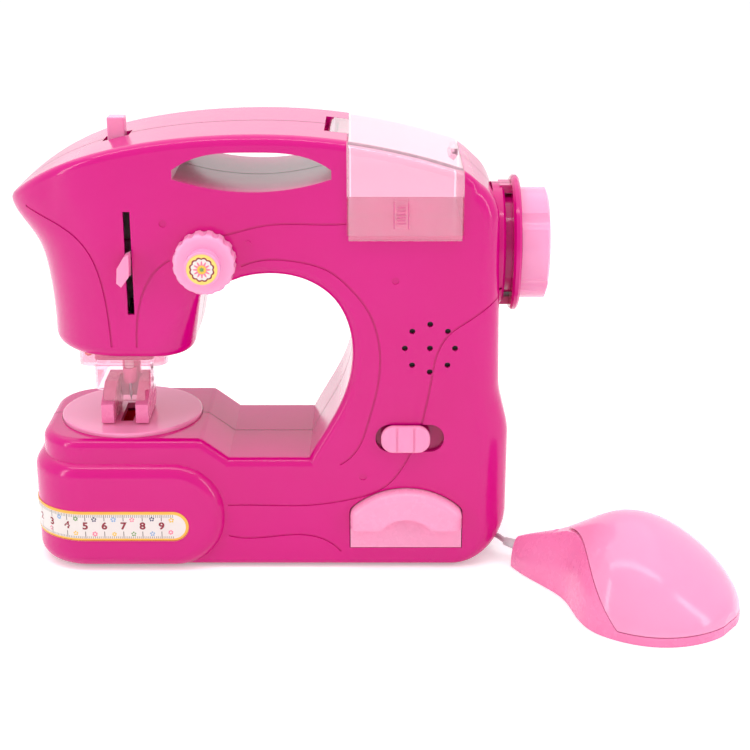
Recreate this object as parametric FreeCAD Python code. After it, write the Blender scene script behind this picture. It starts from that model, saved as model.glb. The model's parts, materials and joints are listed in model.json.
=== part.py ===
import FreeCAD, Part
import math
import os

# Toy sewing machine with a clamshell housing, a geared needle drive and a mouse-shaped pedal on a cord.
# Frame: X to the right along the machine, Y to the rear, Z up. Origin: centre of the base, on the floor.

Vec = FreeCAD.Vector
os.makedirs("parts", exist_ok=True)
pieces = {}
bench = FreeCAD.newDocument("bench")

# Driving sizes of the machine
body_length = 216.0
body_height = 200.0
body_depth = 74.0
wall = 2.0
floor_gap = 1.2
seat_gap = 0.3
run_gap = 0.05
tiny = 1e-9
overrun = 6.0
half_depth = body_depth / 2
half_length = body_length / 2

# Housing
table_height = 62.5
arm_step = 9.0
arm_base_height = table_height - arm_step
table_left = -104.0
table_corner = 21.0
arm_underside = 134.0
head_bottom = 101.0
head_right = -33.0
end_tangent = -64.0
top_round = 4.0
head_round = 5.5
head_floor = 4.5
bottom_round = 3.0
tower_round = 13.0
column_round = 18.0
shoulder_round = 30.0
top_corner_round = 20.0
foot_corner_round = 25.0
kink_round = 4.0
head_corner_round = 5.0

# Points of the outline, as shares of the body's length and height
crown_shares = [(-0.579, 0.750), (-0.526, 0.840), (-0.477, 0.885), (-0.394, 0.935), (-0.255, 0.978),
                (-0.093, 0.998), (0.093, 0.996), (0.255, 0.970), (0.398, 0.9275)]
tower_shares = [(0.470, 0.855), (0.480, 0.420), (0.501, 0.330)]
# Throat and column: rise from the arm's base to its underside. Nose: rise from the head's bottom to the top
throat_shares = [(0.085, 0.0000), (0.120, 0.1677), (0.152, 0.3292), (0.169, 0.4658), (0.176, 0.6149),
                 (0.168, 0.7764), (0.141, 0.9193), (0.086, 1.0286), (0.019, 1.0671), (-0.046, 1.0460)]
kink_shares = [-0.139, -0.083]
column_shares = [(-0.0926, 1.0), (-0.1296, 0.9503)]
nose_shares = [(-0.452, -0.1111), (-0.452, 0.0000), (-0.453, 0.1717), (-0.460, 0.3333),
               (-0.479, 0.4848), (-0.507, 0.5758), (-0.526, 0.6515), (-0.528, 0.7475),
               (-0.528, 0.8990), (-0.528, 1.1515)]

# Needle drive
needle_x = -66.0
drive_z = 143.5
stroke = 24.0
gear_module = 1.2
gear_teeth = 36
pinion_teeth = 10
gear_front = 8.0
gear_width = 4.0


def at(x_share, z_share):
    return Vec(x_share * body_length, 0, z_share * body_height)


def between(low, high, x_share, rise_share):
    return Vec(x_share * body_length, 0, low + rise_share * (high - low))


def keep(name, *shapes):
    solids = [solid for shape in shapes for solid in shape.Solids]
    pieces[name] = solids[0] if len(solids) == 1 else Part.Compound(solids)


def box(x_low, x_high, y_low, y_high, z_low, z_high):
    return Part.makeBox(x_high - x_low, y_high - y_low, z_high - z_low, Vec(x_low, y_low, z_low))


def rod(start, direction, radius, length):
    return Part.makeCylinder(radius, length, start, direction)


def across(x, z, radius, y_low, y_high):
    return rod(Vec(x, y_low, z), along_y, radius, y_high - y_low)


def spline(points):
    curve = Part.BSplineCurve()
    curve.interpolate(points)
    return curve


def polygon(points):
    return Part.Face(Part.makePolygon(list(points) + [points[0]]))


def slab(face, y_low, y_high):
    moved = face.copy()
    moved.translate(Vec(0, y_low, 0))
    return moved.extrude(Vec(0, y_high - y_low, 0))


def both_sides(shape):
    return [shape, shape.mirror(Vec(0, 0, 0), along_y)]


def edges_along(shape, axis, spots=None, reach=0.6):
    found = []
    for edge in shape.Edges:
        if edge.Curve.TypeId != "Part::GeomLine":
            continue
        if abs(abs(edge.tangentAt(edge.FirstParameter).dot(axis)) - 1) > 1e-6:
            continue
        middle = edge.CenterOfMass
        flat = middle - axis * middle.dot(axis)
        if spots is None or any((flat - spot).Length < reach for spot in spots):
            found.append(edge)
    return found


def rounded(shape, axis, radius, spots=None):
    return shape.makeFillet(radius, edges_along(shape, axis, spots))


def fillet_each(shape, radii):
    start = bench.addObject("Part::Feature", "start")
    start.Shape = shape
    fillet = bench.addObject("Part::Fillet", "fillet")
    fillet.Base = start
    fillet.Edges = radii
    bench.recompute()
    return fillet.Shape.copy()


along_x, along_y, along_z = Vec(1, 0, 0), Vec(0, 1, 0), Vec(0, 0, 1)

# Housing outline and its corners
crown = [at(*share) for share in crown_shares]
tower = [at(*share) for share in tower_shares]
throat = [between(arm_base_height, arm_underside, *share) for share in throat_shares]
kink = [Vec(kink_shares[0] * body_length, 0, table_height), Vec(kink_shares[1] * body_length, 0, arm_base_height)]
arm_corner, column_top = [between(arm_base_height, arm_underside, *share) for share in column_shares]
foot_right = Vec(half_length, 0, floor_gap)
throat_right = max(point.x for point in throat)


def housing_outline():
    walls = [crown[-1]] + tower + [foot_right, Vec(table_left, 0, floor_gap), Vec(table_left, 0, table_height),
                                   kink[0], kink[1], throat[0]]
    head = [throat[-1], arm_corner, column_top, Vec(head_right, 0, head_bottom),
            Vec(crown[0].x, 0, head_bottom), crown[0]]
    edges = [spline(crown).toShape(), spline(throat).toShape()]
    for chain in (walls, head):
        edges += [Part.makeLine(first, second) for first, second in zip(chain, chain[1:])]
    block = slab(Part.Face(Part.Wire(Part.__sortEdges__(edges))), 0, overrun)
    block = rounded(block, along_y, shoulder_round, [crown[-1], tower[1], tower[2]])
    block = rounded(block, along_y, top_corner_round, [tower[0]])
    block = rounded(block, along_y, foot_corner_round, [foot_right])
    block = rounded(block, along_y, kink_round, [kink[0]])
    block = rounded(block, along_y, head_corner_round, [column_top])
    return next(face for face in block.Faces if face.BoundBox.YMax < overrun / 2)


def head_end(inset):
    """Left end of the head: every level is half an ellipse that follows the nose's side profile."""
    depth = half_depth - inset
    profile = spline([between(head_bottom, body_height, *share) + Vec(inset, 0, 0) for share in nose_shares])
    diagonal = math.sqrt(0.5)
    arc = [(0, 1, 1), (1, 1, diagonal), (1, 0, 1), (1, -1, diagonal), (0, -1, 1)]
    poles = [[Vec(end_tangent - (end_tangent - pole.x) * out, -depth * side, pole.z) for out, side, _ in arc]
             for pole in profile.getPoles()]
    weights = [[weight for _, _, weight in arc] for _ in poles]
    surface = Part.BSplineSurface()
    surface.buildFromPolesMultsKnots(poles, profile.getMultiplicities(), [3, 2, 3], profile.getKnots(),
                                     [0, 0.5, 1], False, False, profile.Degree, 2, weights)
    skin = surface.toShape()
    low, high = profile.StartPoint.z, profile.EndPoint.z
    faces = [skin]
    for level in (low, high):
        rim = next(edge for edge in skin.Edges
                   if edge.BoundBox.ZLength < 1e-3 and abs(edge.BoundBox.ZMin - level) < 1e-3)
        chord = Part.makeLine(Vec(end_tangent, -depth, level), Vec(end_tangent, depth, level))
        faces.append(Part.Face(Part.Wire([rim, chord])))
    faces.append(polygon([Vec(end_tangent, -depth, low), Vec(end_tangent, depth, low),
                          Vec(end_tangent, depth, high), Vec(end_tangent, -depth, high)]))
    shell = Part.Shell(faces)
    shell.sewShape()
    solid = Part.Solid(shell)
    if solid.Volume < 0:
        solid.reverse()
    return solid


def rim_radius(x, z):
    if z < floor_gap * 4:
        return bottom_round
    if x > tower[0].x * 0.5 and z > table_height:
        share = (crown[-1].z - z) / (crown[-1].z - tower[0].z) / 1.6
        return top_round + (tower_round - top_round) * min(1, max(0, share))
    if x > tower[0].x * 0.5:
        return tower_round
    if x < arm_corner.x and head_bottom - wall < z < arm_underside:
        share = (arm_underside - z) / (arm_underside - head_bottom)
        return top_round + (column_round - top_round) * share
    return top_round


def rim_edges(shape, depth, inset, chosen):
    """Front and rear outline edges that the test picks, each with its radius at both ends."""
    picked = []
    for number, edge in enumerate(shape.Edges, 1):
        bounds = edge.BoundBox
        if bounds.YLength > 1e-3 or abs(abs(bounds.YMin) - depth) > 1e-3:
            continue
        if bounds.XLength < 1e-3 and abs(bounds.XMin - end_tangent) < 1e-3:
            continue
        if chosen(bounds):
            ends = [edge.valueAt(edge.FirstParameter), edge.valueAt(edge.LastParameter)]
            radii = [rim_radius(end.x, end.z) - inset for end in ends]
            picked.append((number, radii[0], radii[1]))
    return picked


def plain_curves(face):
    """The same outline with its offset curves turned into splines, which STEP can hold."""
    edges = []
    for edge in face.OuterWire.Edges:
        if edge.Curve.TypeId == "Part::GeomOffsetCurve":
            edge = edge.Curve.toBSpline(edge.FirstParameter, edge.LastParameter).toShape()
        edges.append(edge)
    return Part.Face(Part.Wire(Part.__sortEdges__(edges)))


def housing_form(inset):
    """The whole housing as one solid, grown inward by the inset."""
    depth = half_depth - inset
    face = housing_outline()
    if inset:
        face = plain_curves(face.makeOffset2D(-inset))
    wide = slab(face, -half_depth - overrun, half_depth + overrun)
    reach = Vec(half_length * 2, 0, body_height * 2)
    right = wide.common(box(end_tangent, reach.x, -depth, depth, -overrun, reach.z))
    table = wide.common(box(-reach.x, end_tangent, -depth, depth, -overrun, head_bottom - overrun))
    form = right.fuse([table, wide.common(head_end(inset))]).removeSplitter().Solids[0]
    spots = [Vec(table_left + inset, side * depth, 0) for side in (-1, 1)]
    form = rounded(form, along_z, table_corner - inset, spots)

    def outer(bounds):
        return (bounds.ZMin > arm_underside + wall * 5 or bounds.ZMax < floor_gap + inset + wall
                or bounds.XMin > throat_right * 2)

    def inner(bounds):
        at_bottom = bounds.ZLength < 1e-3 and abs(bounds.ZMin - head_bottom - inset) < wall
        beside = bounds.ZMax < arm_underside + wall * 5 and bounds.ZMin > floor_gap + wall * 5
        return beside and bounds.XMin < throat_right * 2 and not at_bottom

    form = fillet_each(form, rim_edges(form, depth, inset, outer))
    form = fillet_each(form, rim_edges(form, depth, inset, inner))
    if inset:
        return form
    bottom = next(face for face in form.Faces
                  if face.BoundBox.ZLength < 1e-3 and abs(face.BoundBox.ZMin - head_bottom - inset) < 1e-3)
    return form.makeFillet(head_round, bottom.Edges)


# Sleeve: the thicker end cover moulded round the left end of the base
sleeve_left = -108.5
sleeve_right = -20.0
sleeve_top = 52.0
sleeve_step = 4.5
sleeve_half = half_depth + sleeve_step
sleeve_corner = 25.5
sleeve_end_round = 24.0
sleeve_foot_round = 7.0


def sleeve_form(inset):
    form = box(sleeve_left + inset, sleeve_right - inset, -sleeve_half + inset, sleeve_half - inset,
               floor_gap + inset, sleeve_top - inset)
    levels = (floor_gap + inset, sleeve_top - inset)
    form = rounded(form, along_y, sleeve_end_round - inset, [Vec(sleeve_right - inset, 0, z) for z in levels])
    sides = [Vec(sleeve_left + inset, side * (sleeve_half - inset), 0) for side in (-1, 1)]
    form = rounded(form, along_z, sleeve_corner - inset, sides)
    low_left = next(edge for edge in form.Edges if edge.BoundBox.XLength < 1e-3 and edge.BoundBox.ZLength < 1e-3
                    and edge.BoundBox.XMin < sleeve_left + inset + wall and edge.BoundBox.ZMin < floor_gap + inset + wall)
    return form.makeFillet(sleeve_foot_round - inset, [low_left])


# Handle opening through the top of the arm
handle_left = -38.0
handle_right = 29.5
handle_low = 176.0
handle_high = 193.0
handle_end_low = 181.5
handle_end_height = 4.0
handle_crown_drop = 1.6


def handle_face(grow):
    """Outline of the hand hole: a crowned top and a floor that sags in the middle."""
    middle = (handle_left + handle_right) / 2
    quarter = (handle_right - handle_left) / 3.2
    left, right = Vec(handle_left - grow, 0, handle_end_low), Vec(handle_right + grow, 0, handle_end_low)
    rise = Vec(0, 0, handle_end_height)
    top = [left + rise, Vec(middle - quarter, 0, handle_high + grow - handle_crown_drop),
           Vec(middle, 0, handle_high + grow),
           Vec(middle + quarter, 0, handle_high + grow - handle_crown_drop), right + rise]
    floor = [right - Vec(0, 0, grow), Vec(middle, 0, handle_low - grow), left - Vec(0, 0, grow)]
    edges = [spline(top).toShape(), Part.makeLine(top[-1], floor[0]), spline(floor).toShape(),
             Part.makeLine(floor[-1], top[0])]
    return Part.Face(Part.Wire(edges))


# Spool compartment and its clear lid
bay_left = 36.0
bay_right = 86.0
bay_floor = 157.0
lid_wall = 1.6
lid_end_gap = 0.7
lid_low = 155.2
lid_round = 5.0
tongue_half = 17.0
hinge_x = 29.6
hinge_drop = 2.6
hinge_barrel = 2.3
hinge_pin_radius = 1.0
hinge_pin_half = 21.0
pad_left = 56.0
pad_width = 6.4
pad_low = 161.0
pad_length = 12.0
pad_height = 0.8
tab_width = 4.0
tab_half = 8.0
tab_height = 3.2
crown_curve = spline(crown)


def crown_z(x):
    """Height of the crown at a place along the machine."""
    reach = Part.makeLine(Vec(x, 0, head_bottom), Vec(x, 0, body_height * 2))
    return crown_curve.toShape().distToShape(reach)[1][0][0].z


def under_crown(x_low, x_high, z_low, drop, half_width):
    """Solid below the crown line, lowered by the drop, between two places along the machine."""
    count = 7
    places = [x_low + (x_high - x_low) * step / (count - 1) for step in range(count)]
    roof = [Vec(x, 0, crown_z(x) - drop) for x in places]
    edges = [spline(roof).toShape(), Part.makeLine(roof[-1], Vec(x_high, 0, z_low)),
             Part.makeLine(Vec(x_high, 0, z_low), Vec(x_low, 0, z_low)), Part.makeLine(Vec(x_low, 0, z_low), roof[0])]
    return slab(Part.Face(Part.Wire(edges)), -half_width, half_width)


hinge_z = crown_z(hinge_x) - hinge_drop


def spool_lid():
    left, right = bay_left + lid_end_gap, bay_right - lid_end_gap
    inner_half = half_depth + seat_gap
    outer = under_crown(left, right, lid_low, 0, inner_half + lid_wall)
    roof_edges = [edge for edge in outer.Edges if edge.Curve.TypeId != "Part::GeomLine"
                  and edge.BoundBox.YLength < 1e-3]
    outer = outer.makeFillet(lid_round, roof_edges)
    inner = under_crown(left - overrun, right + overrun, lid_low - overrun, lid_wall, inner_half)
    inner_edges = [edge for edge in inner.Edges if edge.Curve.TypeId != "Part::GeomLine"
                   and edge.BoundBox.YLength < 1e-3]
    lid = outer.cut(inner.makeFillet(lid_round - lid_wall, inner_edges))
    tongue = under_crown(hinge_x, left + lid_wall, hinge_z - hinge_barrel, 0, tongue_half)
    tongue = tongue.cut(under_crown(hinge_x - overrun, left + overrun, hinge_z - overrun, lid_wall, half_depth))
    barrel = across(hinge_x, hinge_z, hinge_barrel, -tongue_half, tongue_half)
    pad = box(pad_left, pad_left + pad_width, -inner_half - lid_wall - pad_height, -inner_half - lid_wall / 2,
              pad_low, pad_low + pad_length)
    pad = rounded(pad, along_y, pad_width / 2.6)
    tab = box(right - tab_width, right - tab_width / 4, -tab_half, tab_half, crown_z(right) - lid_wall / 2,
              crown_z(right) + tab_height)
    lid = lid.fuse([tongue, barrel, pad, tab])
    return lid.cut(across(hinge_x, hinge_z, hinge_pin_radius + run_gap, -tongue_half - overrun, tongue_half + overrun))


# Screws that hold the two halves together, driven from the rear
screw_spots = [(-42.7, 162.3), (56.9, 137.0), (42.6, 45.2), (-88.0, 44.0)]
screw_radius = 1.2
screw_head_radius = 2.6
screw_head_height = 1.8
screw_tip = 12.0
boss_radius = 3.6
head_seat = 8.0

# Handwheel and its neck at the right end
wheel_z = 144.7
neck_radius = 27.5
neck_start = 100.0
neck_end = 105.2
groove_radius = 22.5
flange_start = 108.5
flange_end = 112.0
flange_radius = 30.5
lug_half = 6.0
lug_thickness = 3.6
notch_half = 3.5
axle_radius = 4.0
axle_end = 94.0
washer_thickness = 1.0
knob_gap = 0.5
knob_end = 126.2
knob_radius = 25.0
knob_wall = 2.2
knob_dome = 1.2
flute_count = 5
flute_start_share = 0.25
flute_radius = 8.0
flute_depth = 1.3


def turned_x(points):
    """Solid turned about the handwheel's axis from points (along X, radius)."""
    return polygon([Vec(x, 0, wheel_z + radius) for x, radius in points]).revolve(
        Vec(0, 0, wheel_z), along_x, 360)


def wheel_neck():
    neck = turned_x([(neck_start, 0), (neck_start, neck_radius), (neck_end - wall / 2, neck_radius),
                     (neck_end, neck_radius - wall / 2), (neck_end, groove_radius), (flange_start, groove_radius),
                     (flange_start, flange_radius - wall / 2), (flange_start + wall / 2, flange_radius),
                     (flange_end - wall / 2, flange_radius), (flange_end, flange_radius - wall / 2),
                     (flange_end, 0)])
    hollow = rod(Vec(axle_end, 0, wheel_z), along_x, groove_radius - wall, flange_end - wall - axle_end)
    sleeve = rod(Vec(axle_end + seat_gap, 0, wheel_z), along_x, axle_radius + wall, flange_end - wall - axle_end)
    bore = rod(Vec(axle_end, 0, wheel_z), along_x, axle_radius + run_gap, flange_end - axle_end + wall)
    lugs = [box(neck_end - wall, flange_start + wall, -lug_half, lug_half,
                wheel_z + side * (neck_radius - lug_thickness / 2) - lug_thickness / 2,
                wheel_z + side * (neck_radius - lug_thickness / 2) + lug_thickness / 2) for side in (-1, 1)]
    notch = polygon([Vec(neck_start, -notch_half, wheel_z - flange_radius - wall),
                     Vec(neck_start, notch_half, wheel_z - flange_radius - wall),
                     Vec(neck_start, 0, wheel_z - neck_radius + wall / 2)])
    neck = neck.fuse(lugs).cut(notch.extrude(Vec(flange_end - neck_start + wall, 0, 0)))
    return neck.cut(hollow).fuse(sleeve).cut(bore)


def handwheel():
    start = flange_end + knob_gap
    knob = turned_x([(start, knob_radius - knob_wall), (start, knob_radius), (knob_end - knob_wall, knob_radius),
                     (knob_end - knob_dome, knob_radius - knob_wall), (knob_end, 0), (knob_end - knob_wall, 0),
                     (knob_end - knob_wall * 2, knob_radius - knob_wall)])
    stub = rod(Vec(axle_end, 0, wheel_z), along_x, axle_radius, knob_end - knob_wall - axle_end)
    knob = knob.fuse(stub)
    flutes = []
    for number in range(flute_count):
        angle = 2 * math.pi * (number + flute_start_share) / flute_count
        reach = knob_radius + flute_radius - flute_depth
        flutes.append(rod(Vec(start - wall, reach * math.sin(angle), wheel_z + reach * math.cos(angle)), along_x,
                          flute_radius, knob_end - start + wall * 2))
    bore = rod(Vec(axle_end - wall, 0, wheel_z), along_x, screw_radius, screw_tip + wall)
    return knob.cut(flutes).cut(bore)


def wheel_retainer():
    """Washer and screw that hold the handwheel's stub from inside the tower."""
    washer = rod(Vec(axle_end - washer_thickness, 0, wheel_z), along_x, axle_radius * 1.6, washer_thickness)
    head = rod(Vec(axle_end - washer_thickness - screw_head_height, 0, wheel_z), along_x, screw_head_radius,
               screw_head_height)
    shank = rod(Vec(axle_end - washer_thickness, 0, wheel_z), along_x, screw_radius - run_gap, screw_tip)
    return washer.fuse([head, shank])


def housing_screw(x, z):
    head = across(x, z, screw_head_radius, head_seat, head_seat + screw_head_height)
    shank = across(x, z, screw_radius, -screw_tip, head_seat)
    return head.fuse(shank)


# Front panel details
lever_slot_left = -59.6
lever_slot_right = -56.6
lever_slot_low = 121.7
lever_slot_high = 167.5
post_hole_left = -71.8
post_hole_right = -59.9
post_hole_half = 5.6
dial_x = -25.0
dial_z = 146.2
spindle_radius = 3.0
sound_x = 72.1
sound_z = 106.3
sound_ring = 11.0
sound_hole = 1.3
sound_count = 8
switch_left = 48.2
switch_right = 78.9
switch_low = 57.4
switch_high = 70.4
slot_end_share = 0.49


# Drawer
drawer_left = 36.8
drawer_right = 87.4
drawer_low = 10.4
drawer_side = 29.0
drawer_top = 39.5
drawer_gap = 0.4
drawer_shoulder = 5.0
drawer_back = 22.0
drawer_wall = 1.5
drawer_box_inset = 2.2
drawer_box_height = 15.0
front_thickness = 2.4
hood_reach = 6.0
hood_edge = 21.2
hood_arch = 26.7
hood_arch_half = 11.5


def drawer_outline(grow):
    """Front of the drawer: straight sides under one shallow arch."""
    left, right = drawer_left - grow, drawer_right + grow
    middle = (drawer_left + drawer_right) / 2
    shoulder = Vec(0, 0, grow)
    left_top, right_top = Vec(left, 0, drawer_side) + shoulder, Vec(right, 0, drawer_side) + shoulder
    low_left, low_right = Vec(left, 0, drawer_low - grow), Vec(right, 0, drawer_low - grow)
    edges = [Part.makeLine(low_left, low_right), Part.makeLine(low_right, right_top),
             Part.Arc(right_top, Vec(middle, 0, drawer_top + grow), left_top).toShape(),
             Part.makeLine(left_top, low_left)]
    block = slab(Part.Face(Part.Wire(edges)), 0, overrun)
    block = rounded(block, along_y, drawer_shoulder, [left_top, right_top])
    return next(face for face in block.Faces if face.BoundBox.YMax < overrun / 2)


def drawer():
    front_face = -half_depth - seat_gap
    panel = slab(drawer_outline(0), front_face, front_face + front_thickness)
    hood = slab(drawer_outline(0), front_face - hood_reach, front_face)
    hood = hood.common(box(drawer_left - overrun, drawer_right + overrun, -half_depth * 2, 0, hood_edge,
                           drawer_top + overrun))
    rim = [edge for edge in hood.Edges if edge.BoundBox.YLength < 1e-3 and edge.BoundBox.YMax < front_face - wall
           and edge.BoundBox.ZMax > hood_edge + wall]
    hood = hood.makeFillet(hood_reach * 0.7, rim)
    middle = (drawer_left + drawer_right) / 2
    arch_points = [Vec(middle - hood_arch_half, 0, hood_edge), Vec(middle, 0, hood_arch),
                   Vec(middle + hood_arch_half, 0, hood_edge)]
    arch = Part.Face(Part.Wire([Part.Arc(*arch_points).toShape(), Part.makeLine(arch_points[-1], arch_points[0])]))
    hood = hood.cut(slab(arch, -half_depth * 2, front_face))
    left, right = drawer_left + drawer_box_inset, drawer_right - drawer_box_inset
    low = drawer_low + drawer_wall
    tray = box(left, right, front_face + front_thickness / 2, drawer_back, low, low + drawer_box_height)
    hollow = box(left + drawer_wall, right - drawer_wall, front_face + front_thickness,
                 drawer_back - drawer_wall, low + drawer_wall, low + drawer_box_height + overrun)
    return panel.fuse([hood, tray]).cut(hollow)


# Battery bay in the base
cells_left = -58.0
cells_right = -6.0
cells_half = 24.0
cells_top = 19.0
tray_wall = 1.5
plate_left = -92.0
plate_right = 73.0
plate_half = 30.0
plate_round = 8.0
cell_radius = 7.1
cell_length = 50.0
cell_gap = 0.4
door_thickness = 1.6
door_recess = 0.3
cap_length = 1.2
cap_radius = 2.7
contact_thickness = 0.4
contact_half = 5.0
tab_end = 6.0
tab_half_width = 6.0
tab_y = 8.0
tab_level = 1.1
door_screw_x = 1.0
flat_head_height = 0.5
flat_seat = 0.7
flat_tip = 8.0
lug_reach = 1.3
lug_rows = (-13.0, 13.0)
lug_half_width = 3.0
plate_spots = [(-82.0, -20.0), (-82.0, 20.0), (62.0, -20.0), (62.0, 20.0)]


def base_plate():
    plate = rounded(box(plate_left, plate_right, -plate_half, plate_half, 0, floor_gap), along_z, plate_round)
    tray = box(cells_left - tray_wall, cells_right + tray_wall, -cells_half - tray_wall, cells_half + tray_wall, 0,
               cells_top + tray_wall)
    cuts = [box(cells_left, cells_right, -cells_half, cells_half, -overrun, cells_top),
            box(cells_right - wall, tab_end + seat_gap, tab_y - tab_half_width - seat_gap,
                tab_y + tab_half_width + seat_gap, -overrun, door_recess + door_thickness + seat_gap)]
    cuts += [box(cells_left - lug_reach, cells_left + wall, y - lug_half_width - seat_gap,
                 y + lug_half_width + seat_gap, door_recess + door_thickness / 2 - seat_gap / 2,
                 door_recess + door_thickness + seat_gap / 2) for y in lug_rows]
    for x, y in plate_spots:
        cuts.append(rod(Vec(x, y, -overrun), along_z, screw_radius + run_gap, overrun * 2))
        cuts.append(rod(Vec(x, y, -overrun), along_z, screw_head_radius + seat_gap, overrun + flat_seat))
    return plate.fuse(tray).cut(cuts)


def flat_screw(x, y):
    """Low-headed screw driven upward from under the base."""
    head = rod(Vec(x, y, flat_seat - flat_head_height), along_z, screw_head_radius, flat_head_height)
    return head.fuse(rod(Vec(x, y, flat_seat), along_z, screw_radius, flat_tip - flat_seat))


def battery_door():
    half = cells_half - seat_gap
    door = box(cells_left + seat_gap, cells_right - seat_gap, -half, half, door_recess, door_recess + door_thickness)
    door = rounded(door, along_z, wall / 2)
    tab = box(cells_right - wall, tab_end, tab_y - tab_half_width, tab_y + tab_half_width, door_recess, tab_level)
    lugs = [box(cells_left - lug_reach + seat_gap, cells_left + wall, y - lug_half_width, y + lug_half_width,
                door_recess + door_thickness / 2, door_recess + door_thickness) for y in lug_rows]
    hole = rod(Vec(door_screw_x, tab_y, -overrun), along_z, screw_radius + run_gap, overrun * 2)
    seat = rod(Vec(door_screw_x, tab_y, -overrun), along_z, screw_head_radius + seat_gap, overrun + flat_seat)
    return door.fuse([tab] + lugs).cut([hole, seat])


def cell_rows():
    level = door_recess + door_thickness + cell_gap + cell_radius
    return [(row, row * (cell_radius * 2 + cell_gap), level) for row in (-1, 0, 1)]


def batteries():
    middle = (cells_left + cells_right) / 2
    cells = []
    for row, y, level in cell_rows():
        side = 1 if row else -1
        can = rod(Vec(middle - side * cell_length / 2, y, level), along_x * side, cell_radius, cell_length - cap_length)
        cap = rod(Vec(middle + side * (cell_length / 2 - cap_length), y, level), along_x * side, cap_radius, cap_length)
        cells.append(can.fuse(cap))
    return cells


def battery_contacts():
    middle = (cells_left + cells_right) / 2
    plates = []
    for _, y, level in cell_rows():
        for side in (-1, 1):
            end = middle + side * (cells_right - cells_left) / 2
            plate = box(min(end, end - side * contact_thickness), max(end, end - side * contact_thickness),
                        y - contact_half, y + contact_half, level - contact_half, level + contact_half)
            stud = rod(Vec(end, y, level), along_x * -side, cap_radius,
                       (cells_right - cells_left - cell_length) / 2)
            plates.append(plate.fuse(stud))
    return plates


# Needle plate, guard, foot and lamps
disc_x = -65.5
disc_radius = 32.5
disc_top = 64.3
disc_seat = 61.6
disc_edge = 0.8
disc_slot_half = 2.9
disc_slot_front = -16.0
disc_slot_rear = 8.0


def needle_plate():
    disc = rod(Vec(disc_x, 0, disc_seat), along_z, disc_radius, disc_top - disc_seat)
    rim = [edge for edge in disc.Edges if edge.BoundBox.ZMin > disc_top - 1e-3]
    disc = disc.makeFillet(disc_edge, rim)
    slot = box(needle_x - disc_slot_half, needle_x + disc_slot_half, disc_slot_front, disc_slot_rear,
               disc_seat - overrun, disc_top + overrun)
    return disc.cut(slot)


block_left = -79.6
block_right = -52.4
block_half_depth = 17.0
block_bottom = 94.0
bar_radius = 2.1
bar_half_width = 3.75
bar_half_depth = 2.5
bar_rod_low = 80.0
bar_square_low = 119.0
bar_square_high = 188.0
clamp_radius = 3.2
clamp_low = 78.0
clamp_high = 85.0
clamp_recess_depth = 4.0
clamp_recess = block_bottom + clamp_recess_depth
clamp_recess_radius = 3.9
bearing_length = 12.0
bearing_top = block_bottom + bearing_length
bearing_radius = 6.0
guide_low = 171.0
guide_thickness = 3.0
guide_half = 12.0
guide_gap = 0.35


def head_block():
    """Short block under the head that the clear guard fits round."""
    block = box(block_left, block_right, -block_half_depth, block_half_depth, block_bottom, head_bottom + wall)
    return rounded(block, along_z, wall * 2)


guard_wall = 1.3
flange_left = -86.0
flange_right = -46.0
flange_front = -21.0
flange_rear = 20.0
flange_low = 92.6
guard_left = -79.4
guard_right = -52.6
guard_low = 80.8
guard_front_low = 75.5
guard_front_half = 9.5


def needle_guard():
    top = head_bottom
    cap = rounded(box(flange_left, flange_right, flange_front, flange_rear, flange_low, top), along_z, wall * 3)
    inside = rounded(box(flange_left + guard_wall, flange_right - guard_wall, flange_front + guard_wall,
                         flange_rear - guard_wall, flange_low + guard_wall, top + overrun), along_z, wall * 2)
    skirt = rounded(box(guard_left, guard_right, flange_front + guard_wall, flange_rear - guard_wall * 4, guard_low,
                        flange_low + guard_wall), along_z, wall * 2)
    tongue = box(needle_x - guard_front_half, needle_x + guard_front_half, flange_front + guard_wall,
                 flange_front + guard_wall * 2, guard_front_low, guard_low + overrun)
    hollow = rounded(box(guard_left + guard_wall, guard_right - guard_wall, flange_front + guard_wall * 2,
                         flange_rear - guard_wall * 5, guard_low - overrun, top + overrun), along_z, wall)
    return cap.cut(inside).fuse([skirt, tongue]).cut(hollow)


lamp_radius = 2.2
lamp_low = 94.6
lamp_offset = 16.3
lamp_y = -12.0


def lamps():
    made = []
    for side in (-1, 1):
        x = needle_x + side * lamp_offset
        dome_start = lamp_low + lamp_radius
        body = rod(Vec(x, lamp_y, dome_start), along_z, lamp_radius, head_bottom - dome_start)
        dome = Part.makeSphere(lamp_radius, Vec(x, lamp_y, dome_start))
        made.append(body.fuse(dome))
    return made


toe_inner = 5.0
toe_outer = 10.6
toe_front = -21.0
toe_rear = 9.0
toe_low = 65.0
toe_top = 80.5
toe_tip_height = 9.0
foot_leg_half = 4.0
foot_bridge = 4.5


def presser_foot():
    """Two toes joined behind the needle, on a leg that rises to the head."""
    rear = toe_rear
    side = Part.Face(Part.makePolygon([Vec(0, toe_front, toe_low), Vec(0, rear - foot_bridge, toe_low),
                                       Vec(0, rear, toe_low + foot_bridge), Vec(0, rear, toe_top),
                                       Vec(0, toe_front / 3, toe_top), Vec(0, toe_front * 0.8, toe_low + toe_tip_height * 1.2),
                                       Vec(0, toe_front, toe_low + toe_tip_height), Vec(0, toe_front, toe_low)]))
    foot = None
    for start in (needle_x - toe_outer, needle_x + toe_inner):
        toe = side.copy()
        toe.translate(Vec(start, 0, 0))
        toe = toe.extrude(Vec(toe_outer - toe_inner, 0, 0))
        foot = toe if foot is None else foot.fuse(toe)
    bridge = box(needle_x - toe_outer, needle_x + toe_outer, rear - foot_bridge, rear, toe_low + foot_bridge, toe_top)
    leg = box(needle_x - foot_leg_half, needle_x + foot_leg_half, rear - foot_bridge, rear, toe_top - wall,
              block_bottom)
    return foot.fuse([bridge, leg])


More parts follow.
